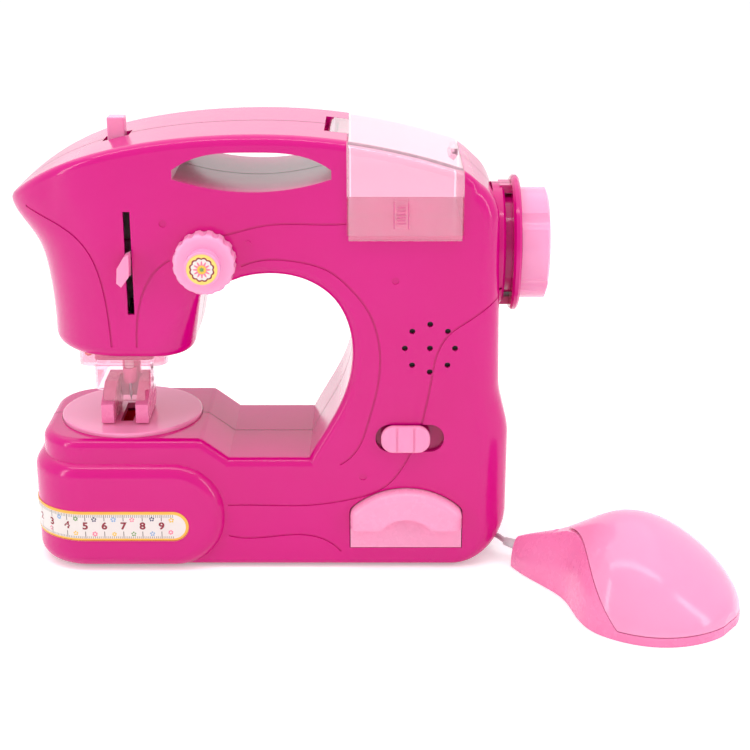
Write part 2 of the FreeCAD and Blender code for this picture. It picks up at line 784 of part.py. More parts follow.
needle_radius = 0.7
needle_low = 69.0
needle_point = 3.0
yoke_half = 18.2
yoke_depth = 3.6
yoke_slot_half = 14.8
yoke_slot_height = 4.6
yoke_height = 10.0


def needle_bar():
    """Round below for the clamp, square above for the guides, with the slotted yoke that the crank drives."""
    lower = rod(Vec(needle_x, 0, bar_rod_low), along_z, bar_radius, bar_square_low - bar_rod_low)
    upper = box(needle_x - bar_half_width, needle_x + bar_half_width, -bar_half_depth, bar_half_depth,
                bar_square_low, bar_square_high)
    yoke = box(needle_x - yoke_half, needle_x + yoke_half, bar_half_depth, bar_half_depth + yoke_depth,
               drive_z - yoke_height / 2, drive_z + yoke_height / 2)
    slot = box(needle_x - yoke_slot_half, needle_x + yoke_slot_half, bar_half_depth + wall / 2,
               bar_half_depth + yoke_depth + overrun, drive_z - yoke_slot_height / 2, drive_z + yoke_slot_height / 2)
    return lower.fuse([upper, yoke]).cut(slot)


def needle_clamp():
    clamp = rod(Vec(needle_x, 0, clamp_low), along_z, clamp_radius, clamp_high - clamp_low)
    return clamp.cut(rod(Vec(needle_x, 0, bar_rod_low), along_z, bar_radius, overrun * 2)).cut(
        rod(Vec(needle_x, 0, clamp_low - overrun), along_z, needle_radius, overrun + wall))


def needle():
    shank = rod(Vec(needle_x, 0, needle_low + needle_point), along_z, needle_radius,
                bar_rod_low - needle_low - needle_point)
    point = Part.makeCone(needle_radius / 4, needle_radius, needle_point, Vec(needle_x, 0, needle_low), along_z)
    return shank.fuse(point)


lever_left = -62.6
lever_right = -56.9
lever_low = 136.2
lever_high = 151.1
lever_front = -44.5
lever_arm_half = 0.9
lever_arm_height = 7.0


def take_up_lever():
    """Leaf-shaped finger outside the slot, on an arm that clips to the needle bar."""
    middle = (lever_slot_left + lever_slot_right) / 2
    tall = lever_high - lever_low
    points = [Vec(lever_right, 0, lever_high - tall * 0.04), Vec(lever_right - wall, 0, lever_high - tall * 0.1),
              Vec(lever_left + wall / 4, 0, lever_low + tall * 0.55), Vec(lever_left, 0, lever_low + tall * 0.12),
              Vec(lever_left + wall, 0, lever_low), Vec(middle + lever_arm_half, 0, lever_low + tall * 0.3),
              Vec(lever_right, 0, lever_low + tall * 0.55)]
    leaf = slab(polygon(points), lever_front, -half_depth - seat_gap * 2)
    level = drive_z - lever_arm_height / 2
    arm = box(middle - lever_arm_half, middle + lever_arm_half, -half_depth - wall, -bar_half_depth - wall, level,
              level + lever_arm_height)
    clip = box(needle_x - bar_half_width, middle + lever_arm_half, -bar_half_depth - wall * 1.5, -bar_half_depth,
               level, level + lever_arm_height)
    return leaf.fuse([arm, clip])


post_top = 201.9
post_half = 3.75


def top_post():
    post = box(needle_x - post_half, needle_x + post_half, -post_half, post_half, bar_square_high, post_top)
    return post.makeFillet(wall / 4, edges_along(post, along_z) +
                           [edge for edge in post.Edges if edge.BoundBox.ZMin > post_top - 1e-3])


# Gear drive: crank gear, pinion and motor
tooth_root_share = 0.25
tooth_pitch_share = 0.21
tooth_tip_share = 0.09
crank_pin_radius = 2.0
gear_axle_radius = 1.5
gear_hub_radius = 4.5
gear_hub_length = 1.0
axle_cap = 0.6
axle_cap_radius = 2.5
axle_boss_radius = 4.0
axle_rear = 30.0
motor_width = 15.4
motor_height = 20.0
motor_front = -18.0
motor_rear = 7.0
motor_boss = 0.7
motor_boss_radius = 3.0
motor_shaft_radius = 1.0
pinion_extra = 0.4
pitch_circle = math.pi * gear_module


def gear_face(x, z, teeth, turn):
    """Toothed outline with straight flanks, thinned for running clearance."""
    pitch = gear_module * teeth / 2
    radii = (pitch - gear_module * 1.25, pitch, pitch + gear_module)
    shares = (tooth_root_share, tooth_pitch_share, tooth_tip_share)
    flank = [(radius, share * pitch_circle / radius) for radius, share in zip(radii, shares)]
    points = []
    for number in range(teeth):
        middle = math.radians(turn) + 2 * math.pi * number / teeth
        for radius, angle in flank:
            points.append((radius, middle - angle))
        for radius, angle in reversed(flank):
            points.append((radius, middle + angle))
    return polygon([Vec(x + radius * math.cos(angle), 0, z + radius * math.sin(angle)) for radius, angle in points])


pinion_x = needle_x + gear_module * (gear_teeth + pinion_teeth) / 2


def crank_gear():
    gear = slab(gear_face(needle_x, drive_z, gear_teeth, 0), gear_front, gear_front + gear_width)
    hub = across(needle_x, drive_z, gear_hub_radius, gear_front, gear_front + gear_width + gear_hub_length)
    pin = across(needle_x + stroke / 2, drive_z, crank_pin_radius, bar_half_depth + yoke_depth + seat_gap, gear_front + wall)
    return gear.fuse([hub, pin]).cut(across(needle_x, drive_z, gear_axle_radius + run_gap, -overrun, half_depth))


def gear_axle():
    shaft = across(needle_x, drive_z, gear_axle_radius, gear_front - axle_cap / 2, axle_rear)
    return shaft.fuse(across(needle_x, drive_z, axle_cap_radius, gear_front - axle_cap - seat_gap, gear_front - seat_gap))


def motor_pinion():
    pinion = slab(gear_face(pinion_x, drive_z, pinion_teeth, 180 / pinion_teeth),
                  gear_front, gear_front + gear_width + pinion_extra)
    return pinion.cut(across(pinion_x, drive_z, motor_shaft_radius, 0, half_depth))


def motor():
    can = across(pinion_x, drive_z, motor_height / 2, motor_front, motor_rear)
    can = can.common(box(pinion_x - motor_width / 2, pinion_x + motor_width / 2, motor_front, motor_rear,
                         drive_z - motor_height, drive_z + motor_height))
    can = can.fuse(across(pinion_x, drive_z, motor_boss_radius, motor_rear, motor_rear + motor_boss))
    return can.cut(across(pinion_x, drive_z, motor_shaft_radius + run_gap, 0, half_depth))


# Speaker, board and switch in the tower
speaker_radius = 14.0
speaker_frame = 2.0
magnet_radius = 7.0
magnet_depth = 6.0
speaker_front = -half_depth + wall + seat_gap
ring_gap = 0.3
ring_wall = 1.5
ring_depth = 4.0
board_left = 49.5
board_right = 83.0
board_low = 49.5
board_high = 79.0
board_front = -26.0
board_thickness = 1.6
post_radius = 2.0
post_inset = 3.0
board_spots = [(board_left + post_inset, board_high - post_inset), (board_right - post_inset, board_low + post_inset)]
board_screw_radius = 0.9
board_screw_tip = 5.0
body_left, body_right, body_low, body_high = 56.0, 68.0, 61.0, 67.0
body_front = -32.4
cap_left, cap_right, cap_low, cap_high = 50.7, 72.6, 58.0, 70.5
cap_end_share = 0.45
cap_back = -half_depth - seat_gap * 2
cap_front = -40.6
stem_left, stem_right, stem_low, stem_high = 53.0, 66.0, 60.5, 67.5
cover_left, cover_right, cover_low, cover_high = 45.5, 82.0, 55.0, 73.0
cover_thickness = 1.0
nub_half = 1.5
groove_spacing = 7.6


def speaker():
    frame = across(sound_x, sound_z, speaker_radius, speaker_front, speaker_front + speaker_frame)
    magnet = across(sound_x, sound_z, magnet_radius, speaker_front + speaker_frame,
                    speaker_front + speaker_frame + magnet_depth)
    return frame.fuse(magnet)


def circuit_board():
    board = box(board_left, board_right, board_front, board_front + board_thickness, board_low, board_high)
    return board.cut([across(x, z, board_screw_radius, -half_depth, half_depth) for x, z in board_spots])


def board_screw(x, z):
    rear = board_front + board_thickness
    head = across(x, z, post_radius, rear, rear + screw_head_height / 2)
    return head.fuse(across(x, z, board_screw_radius, board_front - board_screw_tip, rear))


def switch_button():
    cap = box(cap_left, cap_right, cap_front, cap_back, cap_low, cap_high)
    front = [edge for edge in cap.Edges if edge.BoundBox.YMax < cap_front + 1e-3]
    cap = rounded(cap, along_y, (cap_high - cap_low) * cap_end_share)
    front = [edge for edge in cap.Edges if edge.BoundBox.YMax < cap_front + 1e-3]
    cap = cap.makeFillet(wall / 2, front)
    middle = (cap_left + cap_right) / 2
    grips = [box(middle + side * groove_spacing / 2 - wall / 4, middle + side * groove_spacing / 2 + wall / 4,
                 cap_front - wall, cap_front + wall / 4, cap_low - wall, cap_high + wall) for side in (-1, 1)]
    cover_front = -half_depth + wall + seat_gap
    stem = box(stem_left, stem_right, cap_back - wall / 4, cover_front + cover_thickness / 2, stem_low, stem_high)
    cover = box(cover_left, cover_right, cover_front, cover_front + cover_thickness, cover_low, cover_high)
    nub_x = (body_left + body_right) / 2 - wall
    level = (body_low + body_high) / 2
    nub = box(nub_x - nub_half, nub_x + nub_half, cover_front + cover_thickness / 2, body_front - seat_gap,
              level - nub_half, level + nub_half)
    return cap.cut(grips).fuse([stem, cover, nub])


# Tension dial
dial_radius = 13.5
dial_back = -half_depth - seat_gap
dial_front = -45.5
dial_hub_front = -51.7
dial_hub_radius = 7.6
dial_edge = 2.4
petal_count = 16
petal_depth = 0.7
petal_radius = 2.2
spindle_end = -34.4
dial_washer_radius = 4.6
sticker_thickness = 0.3


def tension_dial():
    dial = across(dial_x, dial_z, dial_radius, dial_front, dial_back)
    dial = dial.makeFillet(dial_edge, [edge for edge in dial.Edges if edge.BoundBox.YMax < dial_front + 1e-3])
    reach = dial_radius + petal_radius - petal_depth
    petals = []
    for number in range(petal_count):
        angle = 2 * math.pi * number / petal_count
        petals.append(across(dial_x + reach * math.cos(angle), dial_z + reach * math.sin(angle), petal_radius,
                             dial_front - wall, dial_back + wall))
    hub = across(dial_x, dial_z, dial_hub_radius, dial_hub_front, dial_front + wall)
    hub = hub.makeFillet(wall / 4, [edge for edge in hub.Edges if edge.BoundBox.YMax < dial_hub_front + 1e-3])
    spindle = across(dial_x, dial_z, spindle_radius, dial_back - wall, spindle_end)
    bore = across(dial_x, dial_z, screw_radius, spindle_end - screw_tip * 0.7, spindle_end + wall)
    return dial.cut(petals).fuse([hub, spindle]).cut(bore)


def dial_screw():
    washer = across(dial_x, dial_z, dial_washer_radius, spindle_end, spindle_end + washer_thickness)
    head = across(dial_x, dial_z, screw_head_radius, spindle_end + washer_thickness,
                  spindle_end + washer_thickness + screw_head_height)
    return washer.fuse([head, across(dial_x, dial_z, screw_radius, spindle_end - screw_tip * 0.7, spindle_end + wall / 2)])


# Ruler sticker round the left end of the sleeve
ruler_low = 15.6
ruler_high = 30.0
ruler_right = -36.4
ruler_wrap = -5.0
sticker_gap = 0.02


def ruler_sticker():
    skin = sleeve_form(-sticker_thickness - sticker_gap).cut(sleeve_form(-sticker_gap))
    band = box(sleeve_left - overrun, ruler_right, -sleeve_half - overrun, ruler_wrap, ruler_low, ruler_high)
    ends = [Vec(ruler_right, 0, level) for level in (ruler_low, ruler_high)]
    return skin.common(rounded(band, along_y, (ruler_high - ruler_low) / 2 - run_gap, ends))


# Housing shells
needle_hole = (-71.0, -61.0, -18.5, 9.5)
gland_x = 78.0
gland_z = 12.0
cord_radius = 1.3
cord_clearance = 0.15
gland_bore = cord_radius + cord_clearance
gland_wall = 0.5
gland_radius = 3.2
gland_flange_radius = 4.6
gland_flange = 1.5
gland_reach = 6.0
rail_places = (46.0, 78.0)
rail_half = 1.0
pocket_left = 26.0
pocket_depth = 3.0
pocket_block_left, pocket_block_right, pocket_block_half, pocket_block_low = 22.0, 40.0, 22.0, 186.0
strap_low = 186.0
motor_rest_half = 5.5
motor_rest_wall = 1.3


def housing_body():
    outer = housing_form(0).fuse([sleeve_form(0), head_block()]).removeSplitter()
    floor_block = box(-body_length, head_right, -half_depth, half_depth, head_bottom, head_bottom + head_floor)
    cavity = housing_form(wall).cut(floor_block).fuse(sleeve_form(wall))
    solid_parts = [slab(handle_face(wall), -half_depth, half_depth),
                   box(handle_left + wall, handle_right - wall, -half_depth, half_depth, strap_low, body_height),
                   box(bay_left - wall, bay_right + wall, -half_depth, half_depth, bay_floor - wall, body_height),
                   box(pocket_block_left, pocket_block_right, -pocket_block_half, pocket_block_half,
                       pocket_block_low, body_height)]
    body = outer.cut(cavity.cut(solid_parts))
    body = body.fuse([wheel_neck(), rod(Vec(needle_x, 0, block_bottom), along_z, bearing_radius,
                                        bearing_top - block_bottom)])
    deep = half_depth + sleeve_half
    cuts = [slab(handle_face(0), -deep, deep),
            box(bay_left, bay_right, -deep, deep, bay_floor, body_height * 2),
            box(pocket_left, bay_left + wall, -tongue_half - seat_gap, tongue_half + seat_gap,
                hinge_z - pocket_depth, body_height * 2),
            across(hinge_x, hinge_z, hinge_pin_radius, -hinge_pin_half, hinge_pin_half),
            box(lever_slot_left, lever_slot_right, -deep, -half_depth / 2, lever_slot_low, lever_slot_high),
            box(post_hole_left, post_hole_right, -post_hole_half, post_hole_half, guide_low + overrun, body_height * 2),
            across(dial_x, dial_z, spindle_radius + run_gap, -deep, -half_depth / 2),
            across(sound_x, sound_z, sound_hole, -deep, -half_depth / 2),
            rounded(box(switch_left, switch_right, -deep, -half_depth / 2, switch_low, switch_high), along_y,
                    (switch_high - switch_low) * slot_end_share),
            slab(drawer_outline(drawer_gap), -deep, -half_depth / 2),
            rod(Vec(disc_x, 0, disc_seat), along_z, disc_radius + seat_gap, table_height + overrun - disc_seat),
            box(needle_hole[0], needle_hole[1], needle_hole[2], needle_hole[3], arm_base_height, table_height + wall),
            rod(Vec(needle_x, 0, block_bottom - overrun), along_z, bar_radius + run_gap, bearing_top),
            rod(Vec(needle_x, 0, block_bottom - overrun), along_z, clamp_recess_radius,
                clamp_recess - block_bottom + overrun),
            box(cells_left - tray_wall - seat_gap, cells_right + tray_wall + seat_gap,
                -cells_half - tray_wall - seat_gap, cells_half + tray_wall + seat_gap, -overrun, overrun),
            across(gland_x, gland_z, gland_radius + run_gap, 0, deep)]
    for number in range(sound_count):
        angle = 2 * math.pi * number / sound_count
        cuts.append(across(sound_x + sound_ring * math.cos(angle), sound_z + sound_ring * math.sin(angle),
                           sound_hole, -deep, -half_depth / 2))
    bore = rod(Vec(axle_end, 0, wheel_z), along_x, groove_radius - wall, neck_end - axle_end)
    bore = bore.cut(rod(Vec(axle_end, 0, wheel_z), along_x, axle_radius + wall, neck_end - axle_end))
    cuts += [bore, rod(Vec(axle_end, 0, wheel_z), along_x, axle_radius + run_gap, flange_end)]
    return body.cut(cuts)


def boss_reach(x, z):
    """How far a screw boss runs from the split to the outer wall."""
    in_sleeve = x < sleeve_right and z < sleeve_top
    return (sleeve_half if in_sleeve else half_depth) - wall * (1.25 if in_sleeve else 0.5)


def plate_boss(x, y):
    boss = rod(Vec(x, y, floor_gap), along_z, boss_radius, flat_tip + wall - floor_gap)
    return boss, rod(Vec(x, y, 0), along_z, screw_radius, flat_tip)


# Fine lines and marks moulded into the front: paths as shares of the body's length and height
groove_width = 0.9
groove_depth = 0.5
head_groove_shares = [(-0.478, 0.834), (-0.428, 0.813), (-0.385, 0.788), (-0.350, 0.748), (-0.326, 0.680),
                      (-0.315, 0.596), (-0.312, 0.536)]
brow_groove_shares = [(-0.188, 0.730), (-0.222, 0.700), (-0.246, 0.650), (-0.258, 0.590), (-0.261, 0.536)]
arm_groove_shares = [(-0.080, 0.785), (-0.040, 0.797), (0.010, 0.809), (0.060, 0.8115), (0.164, 0.8115)]
tower_groove_shares = [(0.480, 0.648), (0.445, 0.621), (0.405, 0.590), (0.374, 0.565), (0.349, 0.520),
                       (0.337, 0.455), (0.328, 0.400), (0.312, 0.330), (0.281, 0.253), (0.240, 0.200),
                       (0.176, 0.173), (0.082, 0.157), (-0.010, 0.157), (-0.085, 0.157)]
base_groove_shares = [(-0.085, 0.081), (0.020, 0.081), (0.089, 0.081), (0.122, 0.068), (0.149, 0.043)]
band_groove_shares = [(-0.043, 0.719), (0.010, 0.733), (0.071, 0.7275), (0.124, 0.7105), (0.176, 0.664),
                      (0.210, 0.6135), (0.2275, 0.5585), (0.2325, 0.515), (0.224, 0.4225), (0.210, 0.365),
                      (0.191, 0.304), (0.152, 0.2575)]
dimple_spots = [(-42.7, 162.3), (56.9, 137.0), (42.6, 45.2)]
dimple_radius = 1.6
dimple_depth = 0.5
pip_x = -6.4
pip_z = 153.5
pip_radius = 1.4
pip_height = 0.35


def front_grooves():
    """Strips along the groove paths that reach just under the skin."""
    strips = []
    for shares in (head_groove_shares, brow_groove_shares, arm_groove_shares, tower_groove_shares,
                   base_groove_shares, band_groove_shares):
        path = Part.Wire([spline([at(*share) for share in shares]).toShape()])
        strip = path.makeOffset2D(groove_width / 2, 0, True, False)
        strips.append(slab(plain_curves(strip.Faces[0]), -half_depth - overrun, 0))
    below = housing_form(0)
    below.translate(Vec(0, groove_depth, 0))
    return [strip.cut(below) for strip in strips]


def front_shell(body):
    deep = half_depth + sleeve_half
    shell = body.common(box(-body_length, body_length, -deep, 0, -overrun, body_height * 2))
    inside = -half_depth + wall / 2
    added, cuts = [], []
    for x, z in screw_spots:
        added.append(across(x, z, boss_radius, -boss_reach(x, z), 0))
        cuts.append(across(x, z, screw_radius, -screw_tip, overrun))
    for x, z in board_spots:
        added.append(across(x, z, post_radius, inside, board_front))
        cuts.append(across(x, z, board_screw_radius, board_front - board_screw_tip, overrun))
    ring = across(sound_x, sound_z, speaker_radius + ring_gap + ring_wall, inside, speaker_front + ring_depth)
    added.append(ring.cut(across(sound_x, sound_z, speaker_radius + ring_gap, -deep, 0)))
    added += [box(x - rail_half, x + rail_half, front_thickness - half_depth, 0, floor_gap + wall / 2,
                  drawer_low + drawer_wall - seat_gap) for x in rail_places]
    rest_left, rest_right = pinion_x - motor_rest_half, pinion_x + motor_rest_half
    added.append(box(rest_left, rest_right, inside, motor_front - seat_gap / 3, drive_z - motor_width / 2,
                     drive_z + motor_width / 2))
    for side in (-1, 1):
        edge = drive_z + side * (motor_height / 2 + seat_gap)
        added.append(box(rest_left, rest_right, inside, motor_front / 3, min(edge, edge + side * motor_rest_wall),
                         max(edge, edge + side * motor_rest_wall)))
    for x, y in plate_spots:
        if y < 0:
            boss, pilot = plate_boss(x, y)
            added.append(boss)
            cuts.append(pilot)
    added.append(across(pip_x, pip_z, pip_radius, -half_depth - pip_height, inside))
    cuts += [across(x, z, dimple_radius, -deep, dimple_depth - half_depth) for x, z in dimple_spots]
    return shell.fuse(added).cut(cuts + front_grooves())


def rear_shell(body):
    deep = half_depth + sleeve_half
    shell = body.common(box(-body_length, body_length, 0, deep, -overrun, body_height * 2))
    inside = half_depth - wall / 2
    added, cuts = [], []
    for x, z in screw_spots:
        added.append(across(x, z, screw_head_radius + wall, 0, boss_reach(x, z)))
        cuts.append(across(x, z, screw_radius + run_gap, -overrun, deep))
        cuts.append(across(x, z, screw_head_radius + seat_gap, head_seat, deep))
    added.append(across(needle_x, drive_z, axle_boss_radius, gear_front + gear_width + gear_hub_length + seat_gap, inside))
    cuts.append(across(needle_x, drive_z, gear_axle_radius, 0, axle_rear))
    guide = box(needle_x - guide_half, needle_x + guide_half, -overrun, inside, guide_low, guide_low + guide_thickness)
    notch = box(needle_x - bar_half_width - guide_gap, needle_x + bar_half_width + guide_gap,
                -bar_half_depth - guide_gap, bar_half_depth + guide_gap, guide_low - wall, guide_low + overrun)
    added.append(guide.cut(notch))
    added += [box(x - rail_half, x + rail_half, 0, drawer_back, floor_gap + wall / 2,
                  drawer_low + drawer_wall - seat_gap) for x in rail_places]
    for x, y in plate_spots + [(door_screw_x, tab_y)]:
        if y > 0:
            boss, pilot = plate_boss(x, y)
            added.append(boss)
            cuts.append(pilot)
    return shell.fuse(added).cut(cuts)


def cord_gland():
    inside = half_depth - wall
    body = across(gland_x, gland_z, gland_radius, inside - gland_flange, half_depth + gland_flange)
    taper = Part.makeCone(gland_radius, gland_bore + gland_wall, gland_reach - gland_flange,
                          Vec(gland_x, half_depth + gland_flange, gland_z), along_y)
    flange = across(gland_x, gland_z, gland_flange_radius, inside - gland_flange, inside)
    collar = across(gland_x, gland_z, gland_flange_radius, half_depth, half_depth + gland_flange)
    return body.fuse([taper, flange, collar]).cut(across(gland_x, gland_z, gland_bore, 0, body_depth))




# Pedal: a mouse shape seen from above, in its own frame (U from the nose to the tail, V to the left of it)
pedal_nose_x = 114.0
pedal_nose_y = -31.0
pedal_nose = Vec(pedal_nose_x, pedal_nose_y, 0)
pedal_turn = -38.0
pedal_wall = 2.0
pedal_floor = 1.0
pedal_places = [0, 5, 20, 38, 50, 60, 76, 90, 100, 105, 107.5]
pedal_half_widths = [5.5, 8.0, 13.0, 20.0, 30.0, 36.0, 37.0, 32.0, 23.0, 14.5, 6.0]
pedal_heights = [12.0, 14.5, 21.0, 32.0, 38.0, 38.5, 33.0, 24.0, 16.0, 11.5, 8.0]
seam = [(20, 21.3), (28, 25.3), (38, 28), (47, 26.6), (55, 22), (62, 16), (68, 10), (74, 4)]
seam_gaps = [1.1, 1.0, 0.9, 0.8, 0.7, 0.6, 0.5, 0.4]
seam_front = (-6, 30)
seam_rear = (120, 4)
pedal_hinge_u = 97.0
pedal_hinge_z = 8.0
pedal_pin_radius = 1.2
pedal_lug_half = 3.4
pedal_lug_wall = 2.4
pedal_cord_z = 8.5
knuckle_radius = 3.0
relief_radius = 2.6
relief_length = 7.0
relief_inside = 3.0
contact_u = 48.0
contact_reach = 22.0
contact_width = 6.0
contact_strip = 0.4
contact_level = 6.0
pedal_screw_spots = [(30.0, 0.0), (70.0, 22.0), (70.0, -22.0)]


def pedal_place(shape):
    placed = shape.copy()
    placed.rotate(Vec(0, 0, 0), along_z, pedal_turn)
    placed.translate(pedal_nose)
    return placed


def pedal_form(inset):
    """Dome whose every cross section is half an ellipse, closed by its floor and two end faces."""
    places = list(pedal_places)
    places[0] += inset
    places[-1] -= inset
    points = [Vec(u, half - inset, height - inset)
              for u, half, height in zip(places, pedal_half_widths, pedal_heights)]
    rail = spline(points)
    diagonal = math.sqrt(0.5)
    arc = [(1, 0, 1), (1, 1, diagonal), (0, 1, 1), (-1, 1, diagonal), (-1, 0, 1)]
    poles = [[Vec(pole.x, pole.y * side, pedal_floor + pole.z * up) for side, up, _ in arc]
             for pole in rail.getPoles()]
    weights = [[weight for _, _, weight in arc] for _ in poles]
    surface = Part.BSplineSurface()
    surface.buildFromPolesMultsKnots(poles, rail.getMultiplicities(), [3, 2, 3], rail.getKnots(),
                                     [0, 0.5, 1], False, False, rail.Degree, 2, weights)
    skin = surface.toShape()
    faces = [skin]
    for u in (places[0], places[-1]):
        rim = next(edge for edge in skin.Edges
                   if edge.BoundBox.XLength < 1e-3 and abs(edge.BoundBox.XMin - u) < 1e-3)
        ends = [vertex.Point for vertex in rim.Vertexes]
        faces.append(Part.Face(Part.Wire([rim, Part.makeLine(ends[0], ends[1])])))
    sides = [edge for edge in skin.Edges if edge.BoundBox.ZLength < 1e-3 and edge.BoundBox.XLength > 1]
    corners = [[vertex.Point for vertex in edge.Vertexes] for edge in sides]
    closing = [Part.makeLine(Vec(u, half - inset, pedal_floor), Vec(u, inset - half, pedal_floor))
               for u, half in ((places[0], pedal_half_widths[0]), (places[-1], pedal_half_widths[-1]))]
    faces.append(Part.Face(Part.Wire(Part.__sortEdges__(sides + closing))))
    shell = Part.Shell(faces)
    shell.sewShape()
    solid = Part.Solid(shell)
    if solid.Volume < 0:
        solid.reverse()
    return solid


def seam_region(above):
    """Everything over the seam, or everything under it, as a block across the pedal."""
    reach = max(pedal_half_widths) * 2
    lift = [gap if above else 0 for gap in seam_gaps]
    points = [Vec(u, 0, z + rise) for (u, z), rise in zip(seam, lift)]
    front = Vec(seam_front[0], 0, seam_front[1] + lift[0])
    rear = Vec(seam_rear[0], 0, seam_rear[1] + lift[-1])
    level = reach if above else -reach
    corners = [rear, Vec(rear.x, 0, level), Vec(front.x, 0, level), front, points[0]]
    edges = [spline(points).toShape(), Part.makeLine(points[-1], rear)]
    edges += [Part.makeLine(first, second) for first, second in zip(corners, corners[1:])]
    return slab(Part.Face(Part.Wire(edges)), -reach, reach)


def knuckle(v_low, v_high, grow=0.0):
    return rod(Vec(pedal_hinge_u, v_low, pedal_hinge_z), along_y, knuckle_radius + grow, v_high - v_low)


def pedal_shells():
    outer, inner = pedal_form(0), pedal_form(pedal_wall)
    skin = outer.cut(inner.fuse(inner.translated(Vec(0, 0, -pedal_wall / 2))))
    reach = max(pedal_half_widths) * 2
    lower = skin.common(seam_region(False))
    upper = skin.common(seam_region(True))
    floor_face = next(face for face in outer.Faces if face.BoundBox.ZLength < 1e-3)
    floor = floor_face.extrude(Vec(0, 0, -pedal_floor))
    half, gap = pedal_lug_half, seat_gap
    lugs = []
    for side in (-1, 1):
        start = side * (half + gap) if side > 0 else -half - gap - pedal_lug_wall
        lugs += [knuckle(start, start + pedal_lug_wall),
                 Part.makeBox(knuckle_radius * 2, pedal_lug_wall, pedal_hinge_z - pedal_floor / 2,
                              Vec(pedal_hinge_u - knuckle_radius, start, pedal_floor / 2))]
    posts = [rod(Vec(u, v, pedal_floor / 2), along_z, screw_head_radius + wall / 2, wall) for u, v in pedal_screw_spots]
    pin_half = half + gap + pedal_lug_wall
    pin = rod(Vec(pedal_hinge_u, -pin_half, pedal_hinge_z), along_y, pedal_pin_radius, pin_half * 2)
    bore = rod(Vec(-overrun, 0, pedal_cord_z), along_x, relief_radius, overrun * 2)
    lower = lower.fuse([floor] + lugs).cut([pin, bore])
    arm = Part.makeBox(knuckle_radius * 1.2, half * 2, reach, Vec(pedal_hinge_u - knuckle_radius * 0.6, -half, pedal_hinge_z))
    hang = arm.common(outer)
    upper = upper.fuse([hang, knuckle(-half, half)]).cut(
        rod(Vec(pedal_hinge_u, -pin_half, pedal_hinge_z), along_y, pedal_pin_radius + run_gap, pin_half * 2))
    return lower, upper


def pedal_hinge_pin():
    half = pedal_lug_half + seat_gap + pedal_lug_wall
    return rod(Vec(pedal_hinge_u, -half, pedal_hinge_z), along_y, pedal_pin_radius, half * 2)


def pedal_contacts():
    """Two spring strips on the pedal floor, one above the other's end."""
    low = box(contact_u, contact_u + contact_reach, -contact_width, 0, pedal_floor, pedal_floor + contact_strip)
    foot = box(contact_u - contact_width, contact_u, -contact_width, 0, pedal_floor, contact_level)
    high = box(contact_u - contact_width, contact_u + contact_reach, -contact_width, 0, contact_level,
               contact_level + contact_strip)
    return low, foot.fuse(high)


def pedal_relief():
    taper = Part.makeCone(gland_bore + gland_wall, relief_radius, relief_length,
                          Vec(-relief_length, 0, pedal_cord_z), along_x)
    sleeve = rod(Vec(0, 0, pedal_cord_z), along_x, relief_radius, relief_inside).fuse(taper).removeSplitter()
    return sleeve.cut(rod(Vec(-relief_length * 2, 0, pedal_cord_z), along_x, gland_bore, relief_length * 4))


# Cord: out of the rear shell, a flat coil behind the machine, then round the tower to the pedal
coil_x = 62.0
coil_y = 66.0
coil_outer = 18.75
coil_pitch = 3.1
coil_turns = 2.5
layer_rise = 3.1
rise_dip = 0.5
steps_each_turn = 12
gland_places = (33.0, 38.0, 43.0)
lead_points = [(78.9, 50.0, 9.0), (80.2, 57.0, 4.1), (80.8, 62.0, 1.5)]
run_points = [(70.0, 47.6, 4.3), (79.0, 48.2, 2.9), (91.0, 46.8, 1.5), (104.0, 41.0, 1.4),
              (112.0, 30.0, 1.4), (114.0, 18.0, 1.7), (112.0, 4.0, 4.2), (108.8, -9.0, 8.0), (107.6, -19.0, 9.6)]
cord_in_pedal = 6.0


def coil_points():
    inner = coil_outer - coil_turns * coil_pitch
    points = []
    for step in range(int(coil_turns * steps_each_turn) + 1):
        turn = step / steps_each_turn
        points.append((turn, coil_outer - coil_pitch * turn, cord_radius))
    start = coil_turns
    for step in range(1, steps_each_turn // 2 + 1):
        share = step / (steps_each_turn / 2)
        rise = layer_rise * (1 - math.cos(math.pi * share)) / 2
        points.append((start + share / 2, inner - rise_dip * math.sin(math.pi * share), cord_radius + rise))
    start += 0.5
    for step in range(1, int((coil_turns + 0.25) * steps_each_turn) + 1):
        turn = step / steps_each_turn
        points.append((start + turn, inner + coil_pitch * turn, cord_radius + layer_rise))
    return [Vec(coil_x + radius * math.cos(2 * math.pi * turn), coil_y + radius * math.sin(2 * math.pi * turn), z)
            for turn, radius, z in points]


def arc_between(start, corner, end):
    """Arc that leaves its start toward the corner and reaches its end from there."""
    middle = (start + end) / 2
    flatness_share = (end - start).Length / 2 / (corner - start).Length
    if flatness_share > 1 - tiny:
        return Part.makeLine(start, end)
    return Part.Arc(start, middle + (corner - middle) * (flatness_share / (1 + flatness_share)), end).toShape()


def biarcs(points, headings):
    """Two arcs from each point to the next, with the given heading at every point."""
    edges = []
    for start, end, leave, arrive in zip(points, points[1:], headings, headings[1:]):
        span = end - start
        forward = span.dot(leave + arrive)
        turn = 2 * (1 - leave.dot(arrive))
        reach = span.dot(span) / (2 * forward)
        if turn > tiny:
            reach = (math.sqrt(forward ** 2 + turn * span.dot(span)) - forward) / turn
        first, second = start + leave * reach, end - arrive * reach
        joint = (first + second) / 2
        edges += [arc_between(start, first, joint), arc_between(joint, second, end)]
    return edges


def least_gap(edges):
    """Smallest clearance between turns of the coil, on points a little apart along it."""
    spots = [edge.valueAt(edge.FirstParameter + (edge.LastParameter - edge.FirstParameter) * step / steps_each_turn)
             for edge in edges for step in range(steps_each_turn)]
    skip = steps_each_turn * 4
    gaps = [first.distanceToPoint(second) for place, first in enumerate(spots) for second in spots[place + skip:]]
    return min(gaps) - 2 * cord_radius


